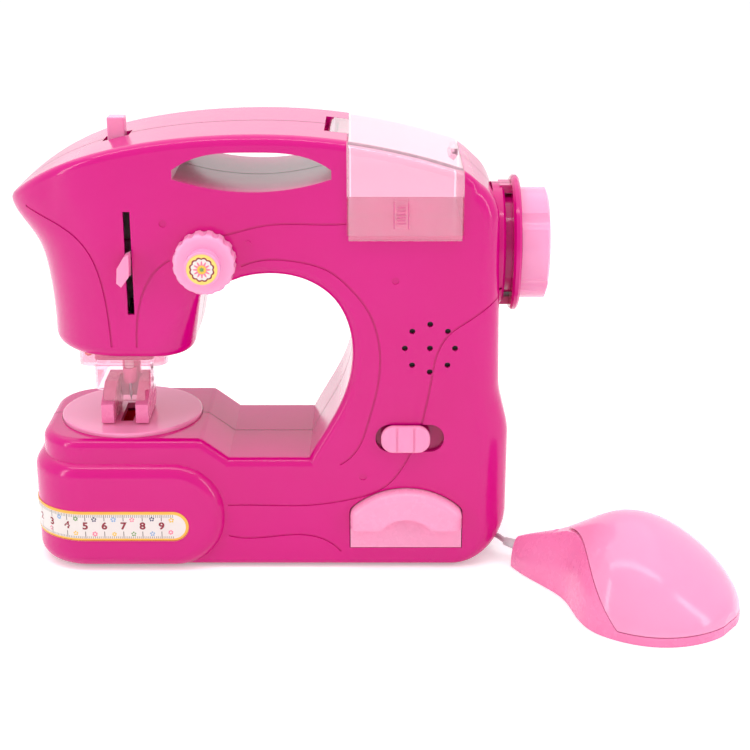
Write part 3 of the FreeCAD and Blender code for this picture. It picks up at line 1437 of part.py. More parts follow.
def cords():
    """The whole cord follows one smooth route, cut into the lead, the coil and the run to the pedal."""
    heading = pedal_place(Part.makeLine(Vec(0, 0, 0), Vec(1, 0, 0)))
    toward = (heading.Vertexes[1].Point - heading.Vertexes[0].Point).normalize()
    nose = Vec(pedal_nose.x, pedal_nose.y, pedal_cord_z)
    lead = [Vec(gland_x, y, gland_z) for y in gland_places] + [Vec(*point) for point in lead_points]
    coil = coil_points()
    run = [Vec(*point) for point in run_points]
    run += [nose + toward * place for place in (-relief_length, -relief_length / 2, 0, cord_in_pedal)]
    route = lead + coil + run
    steps = [after - before for before, after in zip(route, route[1:])]
    headings = [steps[0].normalize()]
    headings += [(before / before.dot(before) + after / after.dot(after)).normalize()
                 for before, after in zip(steps, steps[1:])]
    headings.append(steps[-1].normalize())
    quarter = steps_each_turn // 4
    knots = [place for place in range(len(route))
             if not len(lead) < place < len(lead + coil) or (place - len(lead)) % quarter == 0]
    route, headings = [route[place] for place in knots], [headings[place] for place in knots]
    first, last = knots.index(len(lead)), knots.index(len(lead + coil) - 1)
    headings[first], headings[last] = along_y, along_x
    made, length = [], 0
    for start, end in ((0, first), (first, last), (last, len(route) - 1)):
        edges = biarcs(route[start:end + 1], headings[start:end + 1])
        if start == first:
            print("least gap in the coil", round(least_gap(edges), 2))
        length += sum(edge.Length for edge in edges)
        ring = Part.Wire([Part.makeCircle(cord_radius, route[start], headings[start])])
        made.append(Part.Wire(edges).makePipeShell([ring], True, False))
    print("cord length", round(length, 1))
    return made


body = housing_body()
front, rear = front_shell(body), rear_shell(body)
keep("front_shell", front)
keep("rear_shell", rear)
keep("base_plate", base_plate())
keep("plate_screws", *[flat_screw(x, y) for x, y in plate_spots])
keep("battery_door", battery_door())
keep("door_screw", flat_screw(door_screw_x, tab_y))
keep("batteries", *batteries())
keep("battery_contacts", *battery_contacts())
keep("housing_screws", *[housing_screw(x, z) for x, z in screw_spots])
keep("needle_plate", needle_plate())
keep("needle_guard", needle_guard())
keep("led_bulbs", *lamps())
keep("presser_foot", presser_foot())
keep("needle_bar", needle_bar())
keep("needle_clamp", needle_clamp())
keep("needle", needle())
keep("take_up_lever", take_up_lever())
keep("top_post", top_post())
keep("crank_gear", crank_gear())
keep("gear_axle", gear_axle())
keep("motor_pinion", motor_pinion())
keep("motor", motor())
keep("motor_shaft", across(pinion_x, drive_z, motor_shaft_radius, 0, gear_front + gear_width + pinion_extra))
keep("speaker", speaker())
keep("circuit_board", circuit_board())
keep("board_screws", *[board_screw(x, z) for x, z in board_spots])
keep("switch_body", box(body_left, body_right, body_front, board_front, body_low, body_high))
keep("switch_button", switch_button())
keep("tension_dial", tension_dial())
keep("dial_sticker", across(dial_x, dial_z, dial_hub_radius - wall / 2, dial_hub_front - sticker_thickness, dial_hub_front))
keep("dial_screw", dial_screw())
keep("drawer", drawer())
keep("spool_lid", spool_lid())
keep("lid_hinge_pin", across(hinge_x, hinge_z, hinge_pin_radius, -hinge_pin_half, hinge_pin_half))
keep("handwheel", handwheel())
keep("wheel_screw", wheel_retainer())
keep("ruler_sticker", ruler_sticker())
keep("cord_gland", cord_gland())

lower, upper = pedal_shells()
strips = pedal_contacts()
lead, coil, run = cords()
keep("pedal_base", pedal_place(lower))
keep("pedal_top", pedal_place(upper))
keep("pedal_hinge_pin", pedal_place(pedal_hinge_pin()))
keep("pedal_contacts", *[pedal_place(strip) for strip in strips])
keep("pedal_relief", pedal_place(pedal_relief()))
keep("cord_lead", lead)
keep("cord_coil", coil)
keep("cord_run", run)

for name, shape in pieces.items():
    shape.exportStep("parts/" + name + ".step")
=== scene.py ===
# Toy sewing machine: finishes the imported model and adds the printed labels, the cord and small trim
import json
import math
import bmesh
import bpy
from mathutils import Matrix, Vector

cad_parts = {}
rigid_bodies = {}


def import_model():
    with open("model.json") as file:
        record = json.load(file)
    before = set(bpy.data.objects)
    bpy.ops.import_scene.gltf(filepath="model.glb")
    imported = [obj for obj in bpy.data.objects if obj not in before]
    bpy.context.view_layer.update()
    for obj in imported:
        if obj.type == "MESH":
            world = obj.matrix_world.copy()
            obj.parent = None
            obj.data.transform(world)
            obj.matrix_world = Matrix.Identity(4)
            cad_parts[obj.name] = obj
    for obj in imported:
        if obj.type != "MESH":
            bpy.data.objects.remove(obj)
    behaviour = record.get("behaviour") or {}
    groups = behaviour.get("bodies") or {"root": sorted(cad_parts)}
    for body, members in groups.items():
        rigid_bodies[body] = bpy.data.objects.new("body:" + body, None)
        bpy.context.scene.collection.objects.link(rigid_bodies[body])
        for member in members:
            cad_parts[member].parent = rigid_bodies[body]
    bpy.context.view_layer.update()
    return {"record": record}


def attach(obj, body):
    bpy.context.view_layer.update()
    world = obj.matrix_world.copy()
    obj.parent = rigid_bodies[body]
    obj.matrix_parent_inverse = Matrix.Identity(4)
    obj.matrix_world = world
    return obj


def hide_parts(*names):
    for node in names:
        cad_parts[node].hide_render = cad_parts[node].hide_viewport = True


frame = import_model()
mm = 0.001


def say(text):
    print("sewing machine:", text)


def linear(hexColour):  # sRGB hex to the linear colour that a shader takes
    out = []
    for start in (1, 3, 5):
        value = int(hexColour[start:start + 2], 16) / 255
        out.append(value / 12.92 if value <= 0.04045 else ((value + 0.055) / 1.055) ** 2.4)
    return (*out, 1.0)


def addNode(tree, kind, settings=None, links=None):
    # one node: settings are its own values or input values, links feed its inputs
    node = tree.nodes.new(kind)
    for key, value in (settings or {}).items():
        if isinstance(key, int) or key in node.inputs:
            node.inputs[key].default_value = value
        else:
            setattr(node, key, value)
    for key, source in (links or {}).items():
        tree.links.new(source, node.inputs[key])
    return node


def startTree(owner):
    owner.use_nodes = True
    owner.node_tree.nodes.clear()
    return owner.node_tree


def newObject(name, data):
    made = bpy.data.objects.new(name, data)
    bpy.context.scene.collection.objects.link(made)
    return made


say("materials")
wearPattern = {"driftDetail": 3.0, "driftFrom": 0.3, "driftTo": 0.7, "rubDetail": 6.0, "rubRoughness": 0.65,
               "skinDetail": 2.0, "smearDetail": 5.0, "smearLeast": 0.5, "smearMost": 1.6, "sinkDetail": 1.0}


def startMaterial(name, colour, shader):
    # a principled shader with its settings, and the place on the piece that patterns read
    material = bpy.data.materials.new(name)
    tree = startTree(material)
    body = addNode(tree, "ShaderNodeBsdfPrincipled", {"Base Color": linear(colour), **shader})
    addNode(tree, "ShaderNodeOutputMaterial", links={"Surface": body.outputs[0]})
    where = addNode(tree, "ShaderNodeTexCoord").outputs["Object"]
    return material, tree, body, where


def wear(tree, body, where, colours, flow, smear, grain, depth, sheen):
    # slow colour drift, handled sheen and a fine surface: flow, smear, grain and depth are real sizes in mm
    drift = addNode(tree, "ShaderNodeTexNoise",
                    {"Scale": 1 / (flow * mm), "Detail": wearPattern["driftDetail"]}, {"Vector": where})
    ramp = addNode(tree, "ShaderNodeValToRGB", links={"Fac": drift.outputs["Fac"]})
    ends = (wearPattern["driftFrom"], wearPattern["driftTo"])
    for stop, position, colour in zip(ramp.color_ramp.elements, ends, colours):
        stop.position = position
        stop.color = linear(colour)
    tree.links.new(ramp.outputs["Color"], body.inputs["Base Color"])
    rub = addNode(tree, "ShaderNodeTexNoise", {"Scale": 1 / (smear * mm), "Detail": wearPattern["rubDetail"],
                                               "Roughness": wearPattern["rubRoughness"]}, {"Vector": where})
    rough = addNode(tree, "ShaderNodeMapRange", {"To Min": sheen[0], "To Max": sheen[1]},
                    {"Value": rub.outputs["Fac"]})
    tree.links.new(rough.outputs["Result"], body.inputs["Roughness"])
    skin = addNode(tree, "ShaderNodeTexNoise",
                   {"Scale": 1 / (grain * mm), "Detail": wearPattern["skinDetail"]}, {"Vector": where})
    bump = addNode(tree, "ShaderNodeBump", {"Strength": 1.0, "Distance": depth * mm},
                   {"Height": skin.outputs["Fac"]})
    tree.links.new(bump.outputs["Normal"], body.inputs["Normal"])


# ABS, injection moulded in a polished tool: deep even colour, sharp reflections, faint flow ripple
def polishedAbs(name, colours, glow=0.0):
    material, tree, body, where = startMaterial(name, colours[0], {
        "IOR": 1.54, "Specular IOR Level": 0.33,
        "Subsurface Weight": glow, "Subsurface Scale": 2 * mm, "Subsurface Radius": (1.0, 0.35, 0.5)})
    # flow marks 60 mm long, handling smears of 8 mm and the tool's ripple of 3 mm
    wear(tree, body, where, colours, flow=60, smear=8, grain=3, depth=0.004, sheen=(0.10, 0.22))
    return material


# polypropylene, moulded: softer and waxier than ABS
def mouldedPolypropylene(name, colours, glow=0.15):
    material, tree, body, where = startMaterial(name, colours[0], {
        "IOR": 1.49, "Subsurface Weight": glow, "Subsurface Scale": 2.5 * mm,
        "Subsurface Radius": (1.0, 0.5, 0.6)})
    wear(tree, body, where, colours, flow=40, smear=6, grain=2, depth=0.006, sheen=(0.20, 0.34))
    return material


# clear styrene, moulded: thin see-through walls with a milky pink cast, glossy skin and fine handling smears
def clearStyrene(name, colour, clearness, roughness, smear=10, sink=18, sinkDepth=0.02):
    material, tree, body, where = startMaterial(name, colour, {
        "IOR": 1.04, "Transmission Weight": clearness,
        "Coat Weight": 1.0, "Coat IOR": 1.59, "Coat Roughness": 0.05})
    rub = addNode(tree, "ShaderNodeTexNoise",
                  {"Scale": 1 / (smear * mm), "Detail": wearPattern["smearDetail"]}, {"Vector": where})
    rough = addNode(tree, "ShaderNodeMapRange", {"To Min": roughness * wearPattern["smearLeast"],
                                                 "To Max": roughness * wearPattern["smearMost"]},
                    {"Value": rub.outputs["Fac"]})
    tree.links.new(rough.outputs["Result"], body.inputs["Roughness"])
    ripple = addNode(tree, "ShaderNodeTexNoise",
                     {"Scale": 1 / (sink * mm), "Detail": wearPattern["sinkDetail"]}, {"Vector": where})
    bump = addNode(tree, "ShaderNodeBump", {"Strength": 1.0, "Distance": sinkDepth * mm},
                   {"Height": ripple.outputs["Fac"]})
    for socket in ("Normal", "Coat Normal"):
        tree.links.new(bump.outputs["Normal"], body.inputs[socket])
    return material


# steel, bright zinc or nickel plated: grey with a cloudy sheen and a fine grain
# real grain is far finer than the 0.2 to 0.3 mm drawn here, which is coarse enough to show
def platedSteel(name, colours, grain):
    material, tree, body, where = startMaterial(name, colours[0], {"Metallic": 1.0})
    wear(tree, body, where, colours, flow=4, smear=1.5, grain=grain, depth=0.002, sheen=(0.22, 0.40))
    return material


# plain moulded plastics and papers of the small inner and printed pieces: even colour, faint grain
# the grain is drawn coarser than the real one, at about a millimetre, so that it shows
def plainMoulding(name, colours, sheen, grain):
    material, tree, body, where = startMaterial(name, colours[0], {"IOR": 1.5})
    wear(tree, body, where, colours, flow=20, smear=4, grain=grain, depth=0.004, sheen=sheen)
    return material


finishes = {
    "magenta_plastic": polishedAbs("magenta ABS, polished mould, deep gloss", ("#ce007a", "#d20380")),
    "pale_pink_plastic": polishedAbs("pale pink ABS, polished mould, milky gloss", ("#f391bd", "#f59bc4"),
                                     glow=0.12),
    "pink_plastic": mouldedPolypropylene("pink polypropylene, moulded, waxy sheen", ("#f07db0", "#f284b6")),
    "clear_plastic": clearStyrene("clear pink styrene, moulded, glassy", "#ffd6e7", 0.88, 0.04),
    "red_led": clearStyrene("tinted epoxy, cast, lens-like", "#ff3b34", 0.5, 0.08),
    "steel": platedSteel("bright steel, ground, fine lines", ("#b9bbc0", "#cfd1d4"), 0.2),
    "zinc_screws": platedSteel("zinc plated steel, turned, soft shine", ("#b0b2b4", "#c9cacb"), 0.3),
    "white_nylon": plainMoulding("nylon, moulded, slightly matt", ("#ece9e0", "#f3f0e8"),
                                 sheen=(0.35, 0.5), grain=0.8),
    "board_green": plainMoulding("epoxy laminate, lacquered, glossy green", ("#1f6b3a", "#2a7a44"),
                                 sheen=(0.2, 0.35), grain=0.6),
    "black_plastic": plainMoulding("black polystyrene, moulded, satin", ("#1b1a1c", "#232124"),
                                   sheen=(0.35, 0.5), grain=0.9),
    "speaker_black": plainMoulding("painted steel, pressed, dull black", ("#201f22", "#2b2a2e"),
                                   sheen=(0.4, 0.55), grain=1.2),
    "motor_can": platedSteel("nickel plated steel, drawn, cloudy shine", ("#b3b4b6", "#c6c7c9"), 0.3),
    "cell_wrap": plainMoulding("printed film, shrunk, glossy", ("#2c3a66", "#33447a"),
                               sheen=(0.15, 0.28), grain=1.5),
    "contact_steel": platedSteel("nickel plated spring steel, stamped", ("#c2c1bb", "#d6d5cf"), 0.3),
    "ruler_print": plainMoulding("coated paper, printed, glossy", ("#f6b13c", "#f9c04f"),
                                 sheen=(0.15, 0.25), grain=1.0),
    "dial_print": plainMoulding("coated paper, printed, glossy yellow", ("#fbd264", "#fcdb78"),
                                sheen=(0.15, 0.25), grain=1.0),
    "cord_grey": plainMoulding("soft vinyl, extruded, dull grey", ("#c9c5c8", "#d6d2d5"),
                               sheen=(0.35, 0.5), grain=1.2),
}


# pale ABS button whose skirt, within the housing, is painted dark magenta: painted shade that stands in for
# the housing's shadow on it
def buttonAndSkirt(name, colours, skirtShadeColour, splitY):
    firstColour, shadeColourSocket, mixedColour = 6, 7, 2  # the Mix node's colour sockets
    material = polishedAbs(name, colours, glow=0.12)
    tree = material.node_tree
    body = next(node for node in tree.nodes if node.type == "BSDF_PRINCIPLED")
    where = addNode(tree, "ShaderNodeTexCoord").outputs["Object"]
    # painted shade: past splitY, on the part of the skirt within the housing, the colour turns to the dark
    # magenta shade colour
    depth = addNode(tree, "ShaderNodeSeparateXYZ", links={"Vector": where}).outputs["Y"]
    skirtShadeMask = addNode(tree, "ShaderNodeMath", {"operation": "GREATER_THAN", 1: splitY * mm}, {0: depth})
    both = addNode(tree, "ShaderNodeMix", {"data_type": "RGBA"}, {"Factor": skirtShadeMask.outputs[0]})
    tree.links.new(body.inputs["Base Color"].links[0].from_socket, both.inputs[firstColour])
    both.inputs[shadeColourSocket].default_value = linear(skirtShadeColour)
    tree.links.new(both.outputs[mixedColour], body.inputs["Base Color"])
    return material


# pieces whose finish differs a little from others in their slot
ownFinishes = {
    "drawer": mouldedPolypropylene("pale pink polypropylene, moulded, waxy sheen", ("#f59bc2", "#f6a0c6"),
                                   glow=0.05),
    "tension_dial": polishedAbs("pale pink ABS, polished mould, milky and light", ("#f5a3cd", "#f7add3"),
                                glow=0.12),
    "handwheel": polishedAbs("pale pink ABS, polished mould, milky, lobed", ("#f399c4", "#f5a2ca"),
                             glow=0.12),
    "needle_guard": clearStyrene("clear pink styrene, thin and glassy", "#ffd9e8", 0.95, 0.04),
    # the switch button's skirt carries painted shade in dark magenta
    "switch_button": buttonAndSkirt("pale pink ABS, polished mould, with its skirt in magenta",
                                    ("#f391bd", "#f59bc4"), "#a80a5c", splitY=-38.2),
}
for item in frame["record"]["subparts"]:
    cadPiece = bpy.data.objects[item["node"]]
    for place in cadPiece.material_slots:
        place.material = ownFinishes.get(item["node"], finishes[item["material_slot"]])


def keepPiece(name, shape, body, material):
    # a finished bmesh becomes an object at the origin that rides on a body
    mesh = bpy.data.meshes.new(name)
    shape.to_mesh(mesh)
    shape.free()
    piece = newObject(name, mesh)
    mesh.materials.append(material)
    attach(piece, body)
    return piece


def joinShapes(parts):
    whole = bmesh.new()
    for part in parts:
        mesh = bpy.data.meshes.new("join")
        part.to_mesh(mesh)
        part.free()
        whole.from_mesh(mesh)
        bpy.data.meshes.remove(mesh)
    return whole


def addBlock(shape, centre, size):
    # a box from its centre and its size, both in mm
    for corner in bmesh.ops.create_cube(shape, size=1.0)["verts"]:
        corner.co = Vector([at + value * across for value, at, across in zip(corner.co, centre, size)]) * mm


say("camera")
view = {"eye": (48, -698.2, 326.8), "downDegrees": 19.4, "lens": 76.3, "sensor": 36, "nearest": 10}
camera = newObject("camera", bpy.data.cameras.new("camera"))
camera.location = Vector(view["eye"]) * mm
camera.rotation_euler = (math.radians(90 - view["downDegrees"]), 0, 0)
camera.data.lens = view["lens"]
camera.data.sensor_width = view["sensor"]
camera.data.clip_start = view["nearest"] * mm
bpy.context.scene.camera = camera

say("cord")
cordRoute = {"radius": 1.3, "exitPlaces": (33, 38, 43), "exitX": 78, "exitZ": 12,
             "toCoil": [(78.9, 50, 9), (80.2, 57, 4.1), (80.8, 62, 1.5)],
             "coilCentre": (62, 66), "coilOuter": 18.75, "coilPitch": 3.1, "coilTurns": 2.5, "perTurn": 12,
             "riseTurns": 0.5, "layerRise": 3.1, "riseDip": 0.5, "leaveTurns": 0.25,
             "toPedal": [(70, 47.6, 4.3), (79, 48.2, 2.9), (90, 46, 1.5), (97, 38, 1.4), (99, 26, 1.4),
                         (99, 13, 1.4), (100, 0, 2.6), (102.5, -12, 6.0), (106, -21, 8.4)],
             "nose": (114, -31, 8.5), "noseTurn": -38, "noseSteps": (-7, -3.5, 0, 6),
             "sides": 4, "smooth": 6, "order": 3}


def coilTurns(route):
    # the flat coil winds inwards, rises to a second layer over half a turn and winds out again
    turnsIn, perTurn, pitch = route["coilTurns"], route["perTurn"], route["coilPitch"]
    inner = route["coilOuter"] - turnsIn * pitch
    turns = [(step / perTurn, route["coilOuter"] - pitch * step / perTurn, 0)
             for step in range(int(turnsIn * perTurn) + 1)]
    riseSteps = int(route["riseTurns"] * perTurn)
    for step in range(1, riseSteps + 1):
        share = step / riseSteps
        turns.append((turnsIn + share * route["riseTurns"],
                      inner - route["riseDip"] * math.sin(math.pi * share),
                      route["layerRise"] * (1 - math.cos(math.pi * share)) / 2))
    for step in range(1, int((turnsIn + route["leaveTurns"]) * perTurn) + 1):
        turns.append((turnsIn + route["riseTurns"] + step / perTurn, inner + pitch * step / perTurn,
                      route["layerRise"]))
    return turns


def cordPoints(route):
    points = [(route["exitX"], y, route["exitZ"]) for y in route["exitPlaces"]] + route["toCoil"]
    for turn, reach, lift in coilTurns(route):
        angle = 2 * math.pi * turn
        points.append((route["coilCentre"][0] + reach * math.cos(angle),
                       route["coilCentre"][1] + reach * math.sin(angle), route["radius"] + lift))
    points += route["toPedal"]
    heading = math.radians(route["noseTurn"])
    points += [(route["nose"][0] + step * math.cos(heading), route["nose"][1] + step * math.sin(heading),
                route["nose"][2]) for step in route["noseSteps"]]
    return points


cordCurve = bpy.data.curves.new("pedal_cord", "CURVE")
cordCurve.dimensions = "3D"
cordCurve.bevel_depth = cordRoute["radius"] * mm
cordCurve.bevel_resolution = cordRoute["sides"]
cordCurve.resolution_u = cordRoute["smooth"]
cordCurve.use_fill_caps = True
cordSpline = cordCurve.splines.new("NURBS")
routePoints = cordPoints(cordRoute)
cordSpline.points.add(len(routePoints) - 1)
for spot, point in zip(cordSpline.points, routePoints):
    spot.co = (*[value * mm for value in point], 1)
cordSpline.order_u = cordRoute["order"]
cordSpline.use_endpoint_u = True
pedalCord = newObject("pedal_cord", cordCurve)
cordCurve.materials.append(finishes["cord_grey"])
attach(pedalCord, "machine")
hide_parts("cord_lead", "cord_coil", "cord_run")

say("ruler label")
ruler = {"low": 15.6, "high": 30.0, "left": -121.0, "right": -36.4, "edge": 1.3, "bandStep": 1.5,
         "endSides": 48, "weld": 0.001, "face": 41.82, "corner": 25.82, "cornerX": -83.0, "cornerY": -16.0,
         "sixX": -74.6, "spacing": 8.65, "tenths": 10, "firstTenth": -60, "lastTenth": 44,
         "tickInset": 0.1, "clearLeft": 2.0, "clearRight": 6.5, "tickLift": 0.07, "digitLift": 0.07,
         "blossomLift": 0.065}


def onRuler(x, z, lift):
    # flat on the front, then round the corner of the sleeve and flat along its end
    if x >= ruler["cornerX"]:
        return Vector((x, -(ruler["face"] + lift), z)) * mm
    reach = ruler["corner"] + lift
    angle = (ruler["cornerX"] - x) / reach
    if angle <= math.pi / 2:
        return Vector((ruler["cornerX"] - reach * math.sin(angle),
                       ruler["cornerY"] - reach * math.cos(angle), z)) * mm
    return Vector((ruler["cornerX"] - reach,
                   ruler["cornerY"] + (angle - math.pi / 2) * reach, z)) * mm


def wrapOnRuler(shape, lift):
    # a shape drawn flat, in mm, goes on the label
    for point in shape.verts:
        point.co = onRuler(point.co.x, point.co.z, lift)
    bmesh.ops.recalc_face_normals(shape, faces=shape.faces)
    for face in shape.faces:  # printed film: the side away from the machine is the outside
        middle = face.calc_center_median()
        away = Vector((min(0.0, middle.x - ruler["cornerX"] * mm), middle.y - ruler["cornerY"] * mm, 0))
        if face.normal.dot(away) < 0:
            face.normal_flip()


def addRectangle(shape, x, z, width, height, pieces=1):
    # a flat rectangle round a middle, cut into pieces along its width
    for corner in bmesh.ops.create_grid(shape, x_segments=pieces, y_segments=1, size=0.5)["verts"]:
        corner.co = Vector((x + corner.co.x * width, 0, z + corner.co.y * height))


def bandShape(left, right, low, high):
    # a strip with a round right end, cut fine enough to follow the corner
    radius = (high - low) / 2
    length = right - radius - left
    shape = bmesh.new()
    end = bmesh.ops.create_circle(shape, cap_ends=True, segments=ruler["endSides"], radius=radius)["verts"]
    for point in end:
        point.co = Vector((point.co.x + right - radius, 0, point.co.y + low + radius))
    bmesh.ops.bisect_plane(shape, geom=shape.verts[:] + shape.edges[:] + shape.faces[:],
                           dist=ruler["weld"], plane_co=(right - radius, 0, 0), plane_no=(1, 0, 0),
                           clear_inner=True)
    addRectangle(shape, left + length / 2, low + radius, length, high - low,
                 pieces=int(length / ruler["bandStep"]))
    bmesh.ops.remove_doubles(shape, verts=shape.verts, dist=ruler["weld"])
    return shape


def printFinish(name, colour):
    return plainMoulding(name, (colour, colour), sheen=(0.16, 0.24), grain=1.0)


labelInk = {"amber": finishes["ruler_print"],
            "white": printFinish("printed field, coated paper, warm white", "#e9e0dc"),
            "brown": printFinish("printed ink, brown red", "#8e2436"),
            "line": printFinish("printed ink, fine grey brown", "#6d5c58"),
            "edge": printFinish("printed ink, dark red edge", "#b3261e"),
            "pink": printFinish("printed ink, pink", "#ee7f9c"),
            "blue": printFinish("printed ink, blue", "#7fa9d6"),
            "green": printFinish("printed ink, green", "#6f9a58"),
            "navy": printFinish("printed ink, navy", "#39375f"),
            "yellow": printFinish("printed ink, yellow", "#f0c33f")}
# how far each printed band stays off the label's right, lower and upper edge, and its lift off the label
bands = {"ruler_edge_print": {"ink": "edge", "right": 0.15, "low": 0.1, "high": 0.2, "lift": 0.01},
         "ruler_border_print": {"ink": "amber", "right": 0.2, "low": 0.45, "high": 0.15, "lift": 0.03},
         "ruler_field_print": {"ink": "white", "right": ruler["edge"], "low": ruler["edge"],
                               "high": ruler["edge"], "lift": 0.05}}
for name, band in bands.items():
    shape = bandShape(ruler["left"], ruler["right"] - band["right"], ruler["low"] + band["low"],
                      ruler["high"] - band["high"])
    wrapOnRuler(shape, band["lift"])
    keepPiece(name, shape, "machine", labelInk[band["ink"]])

tickKinds = {"whole": {"width": 0.34, "upper": 3.2, "lower": 3.52},
             "tenth": {"width": 0.22, "upper": 1.5, "lower": 1.125}}
ticks = bmesh.new()
fieldLow, fieldHigh = ruler["low"] + ruler["edge"], ruler["high"] - ruler["edge"]
for number in range(ruler["firstTenth"], ruler["lastTenth"] + 1):
    x = ruler["sixX"] + number * ruler["spacing"] / ruler["tenths"]
    if ruler["left"] + ruler["clearLeft"] <= x <= ruler["right"] - ruler["clearRight"]:
        tick = tickKinds["tenth" if number % ruler["tenths"] else "whole"]
        for start, end in ((fieldLow + ruler["tickInset"], fieldLow + tick["lower"]),
                           (fieldHigh - tick["upper"], fieldHigh - ruler["tickInset"])):
            addRectangle(ticks, x, (start + end) / 2, tick["width"], end - start)
wrapOnRuler(ticks, ruler["tickLift"])
keepPiece("ruler_ticks_print", ticks, "machine", labelInk["line"])

digit = {"size": 4.7, "z": 23.0, "first": 1, "last": 9, "middle": 6, "weight": 0.04, "widen": 1.12,
         "smooth": 4}


def digitShape(value):
    # one number of the ruler, made a mesh and drawn flat in mm
    curve = bpy.data.curves.new("digit", "FONT")
    curve.body = str(value)
    curve.size = digit["size"]
    curve.align_x = "CENTER"
    curve.align_y = "CENTER"
    curve.resolution_u = digit["smooth"]
    curve.offset = digit["size"] * digit["weight"]
    holder = bpy.data.objects.new("digit", curve)
    mesh = bpy.data.meshes.new_from_object(holder)
    bpy.data.objects.remove(holder)
    shape = bmesh.new()
    shape.from_mesh(mesh)
    x = ruler["sixX"] + (value - digit["middle"]) * ruler["spacing"]
    for point in shape.verts:
        point.co = Vector((x + point.co.x * digit["widen"], 0, digit["z"] + point.co.y))
    return shape


digits = joinShapes([digitShape(value) for value in range(digit["first"], digit["last"] + 1)])
wrapOnRuler(digits, ruler["digitLift"])
keepPiece("ruler_numbers_print", digits, "machine", labelInk["brown"])

petal = {"share": 0.34, "out": 0.66, "sides": 10, "turn": 0.3}


def addBlossom(shape, x, z, reach, petals):
    # a ring of round petals that shows the paper in its middle
    for number in range(petals):
        angle = 2 * math.pi * number / petals + petal["turn"] * reach
        middleX = x + reach * petal["out"] * math.cos(angle)
        middleZ = z + reach * petal["out"] * math.sin(angle)
        for point in bmesh.ops.create_circle(shape, cap_ends=True, segments=petal["sides"],
                                             radius=reach * petal["share"])["verts"]:
            point.co = Vector((middleX + point.co.x, 0, middleZ + point.co.y))


# scattered five and six petal blossoms in the label's own colours: x, z, reach, petals
blossoms = {"pink": [(-101.2, 19.6, 1.2, 5), (-79.0, 19.2, 1.3, 6), (-62.0, 26.2, 1.2, 5),
                     (-44.6, 20.0, 1.2, 6)],
            "blue": [(-96.0, 26.4, 1.2, 6), (-70.4, 26.3, 1.3, 5), (-52.9, 19.3, 1.2, 5)],
            "green": [(-87.6, 26.6, 1.2, 6), (-61.4, 19.2, 1.2, 5)],
            "navy": [(-79.2, 26.3, 1.25, 5), (-53.0, 26.5, 1.2, 5)],
            "yellow": [(-87.8, 19.4, 1.2, 5), (-70.2, 19.1, 1.1, 6), (-44.2, 26.0, 1.3, 5)]}
for ink, places in blossoms.items():
    bunch = bmesh.new()
    for x, z, reach, petals in places:
        addBlossom(bunch, x, z, reach, petals)
    wrapOnRuler(bunch, ruler["blossomLift"])
    keepPiece("ruler_blossoms_" + ink, bunch, "machine", labelInk[ink])

say("needle well, lid grip and tie")
# painted shade: a bright red box under the needle slot stands in for the dark red shade of the housing's
# inside that shows through the slot
needleWell = {"centre": (-66.0, -4.5, 54.0), "size": (9.2, 27.2, 12.0), "wall": 0.6, "upward": 0.5}
well = bmesh.new()
addBlock(well, needleWell["centre"], needleWell["size"])
well.normal_update()
openTop = [face for face in well.faces if face.normal.z > needleWell["upward"]]
bmesh.ops.delete(well, geom=openTop, context="FACES_ONLY")
bmesh.ops.recalc_face_normals(well, faces=well.faces)
bmesh.ops.solidify(well, geom=well.faces, thickness=needleWell["wall"] * mm)
keepPiece("needle_well", well, "machine",
          polishedAbs("deep red ABS, polished mould", ("#f01038", "#f81c44")))

lidGrip = {"x": 59.2, "face": -41.75, "z": 167.0, "width": 6.2, "height": 11.6, "ribs": 6, "ribStep": 1.4,
           "ribShare": 0.62, "line": 0.45, "thick": 0.4, "round": 0.1}
grip = bmesh.new()
for number in range(lidGrip["ribs"]):
    level = lidGrip["z"] + (number - (lidGrip["ribs"] - 1) / 2) * lidGrip["ribStep"]
    addBlock(grip, (lidGrip["x"], lidGrip["face"], level),
             (lidGrip["width"] * lidGrip["ribShare"], lidGrip["thick"], lidGrip["line"]))
for side in (-1, 1):  # raised rims beside the ribs
    addBlock(grip, (lidGrip["x"] + side * lidGrip["width"] / 2, lidGrip["face"], lidGrip["z"]),
             (lidGrip["line"], lidGrip["thick"], lidGrip["height"]))
bmesh.ops.bevel(grip, geom=grip.edges[:], offset=lidGrip["round"] * mm, segments=2, profile=0.5,
                affect="EDGES", material=-1)
keepPiece("lid_grip_ribs", grip, "lid_body",
          clearStyrene("clear pink styrene, moulded ribs that look darker", "#e0609c", 0.35, 0.1))

cordTie = {"centre": (47.1, 66.0, 2.95), "half": (6.3, 2.9), "width": 4.0, "thick": 0.3, "sides": 32,
           "fullness": 0.6}


def fuller(value):  # pushes a circle's points out towards a square's
    return math.copysign(abs(value) ** cordTie["fullness"], value)


tie = bmesh.new()
for point in bmesh.ops.create_circle(tie, cap_ends=False, segments=cordTie["sides"], radius=1.0)["verts"]:
    point.co = Vector((cordTie["centre"][0] + fuller(point.co.x) * cordTie["half"][0],
                       cordTie["centre"][1] - cordTie["width"] / 2,
                       cordTie["centre"][2] + fuller(point.co.y) * cordTie["half"][1])) * mm
sleeve = bmesh.ops.extrude_edge_only(tie, edges=tie.edges[:])["geom"]
farEdge = [part for part in sleeve if isinstance(part, bmesh.types.BMVert)]
bmesh.ops.translate(tie, vec=(0, cordTie["width"] * mm, 0), verts=farEdge)
bmesh.ops.recalc_face_normals(tie, faces=tie.faces)
bmesh.ops.solidify(tie, geom=tie.faces, thickness=cordTie["thick"] * mm)
cordTiePiece = keepPiece("cord_tie", tie, "machine",
                         plainMoulding("white paper and wire tie, pressed, dull", ("#f1eeea", "#f6f4f0"),
                                       sheen=(0.5, 0.65), grain=0.6))

say("housing seam")
seamLine = {"half": 0.25, "lift": 0.03, "flat": 0.7, "weld": 0.001}


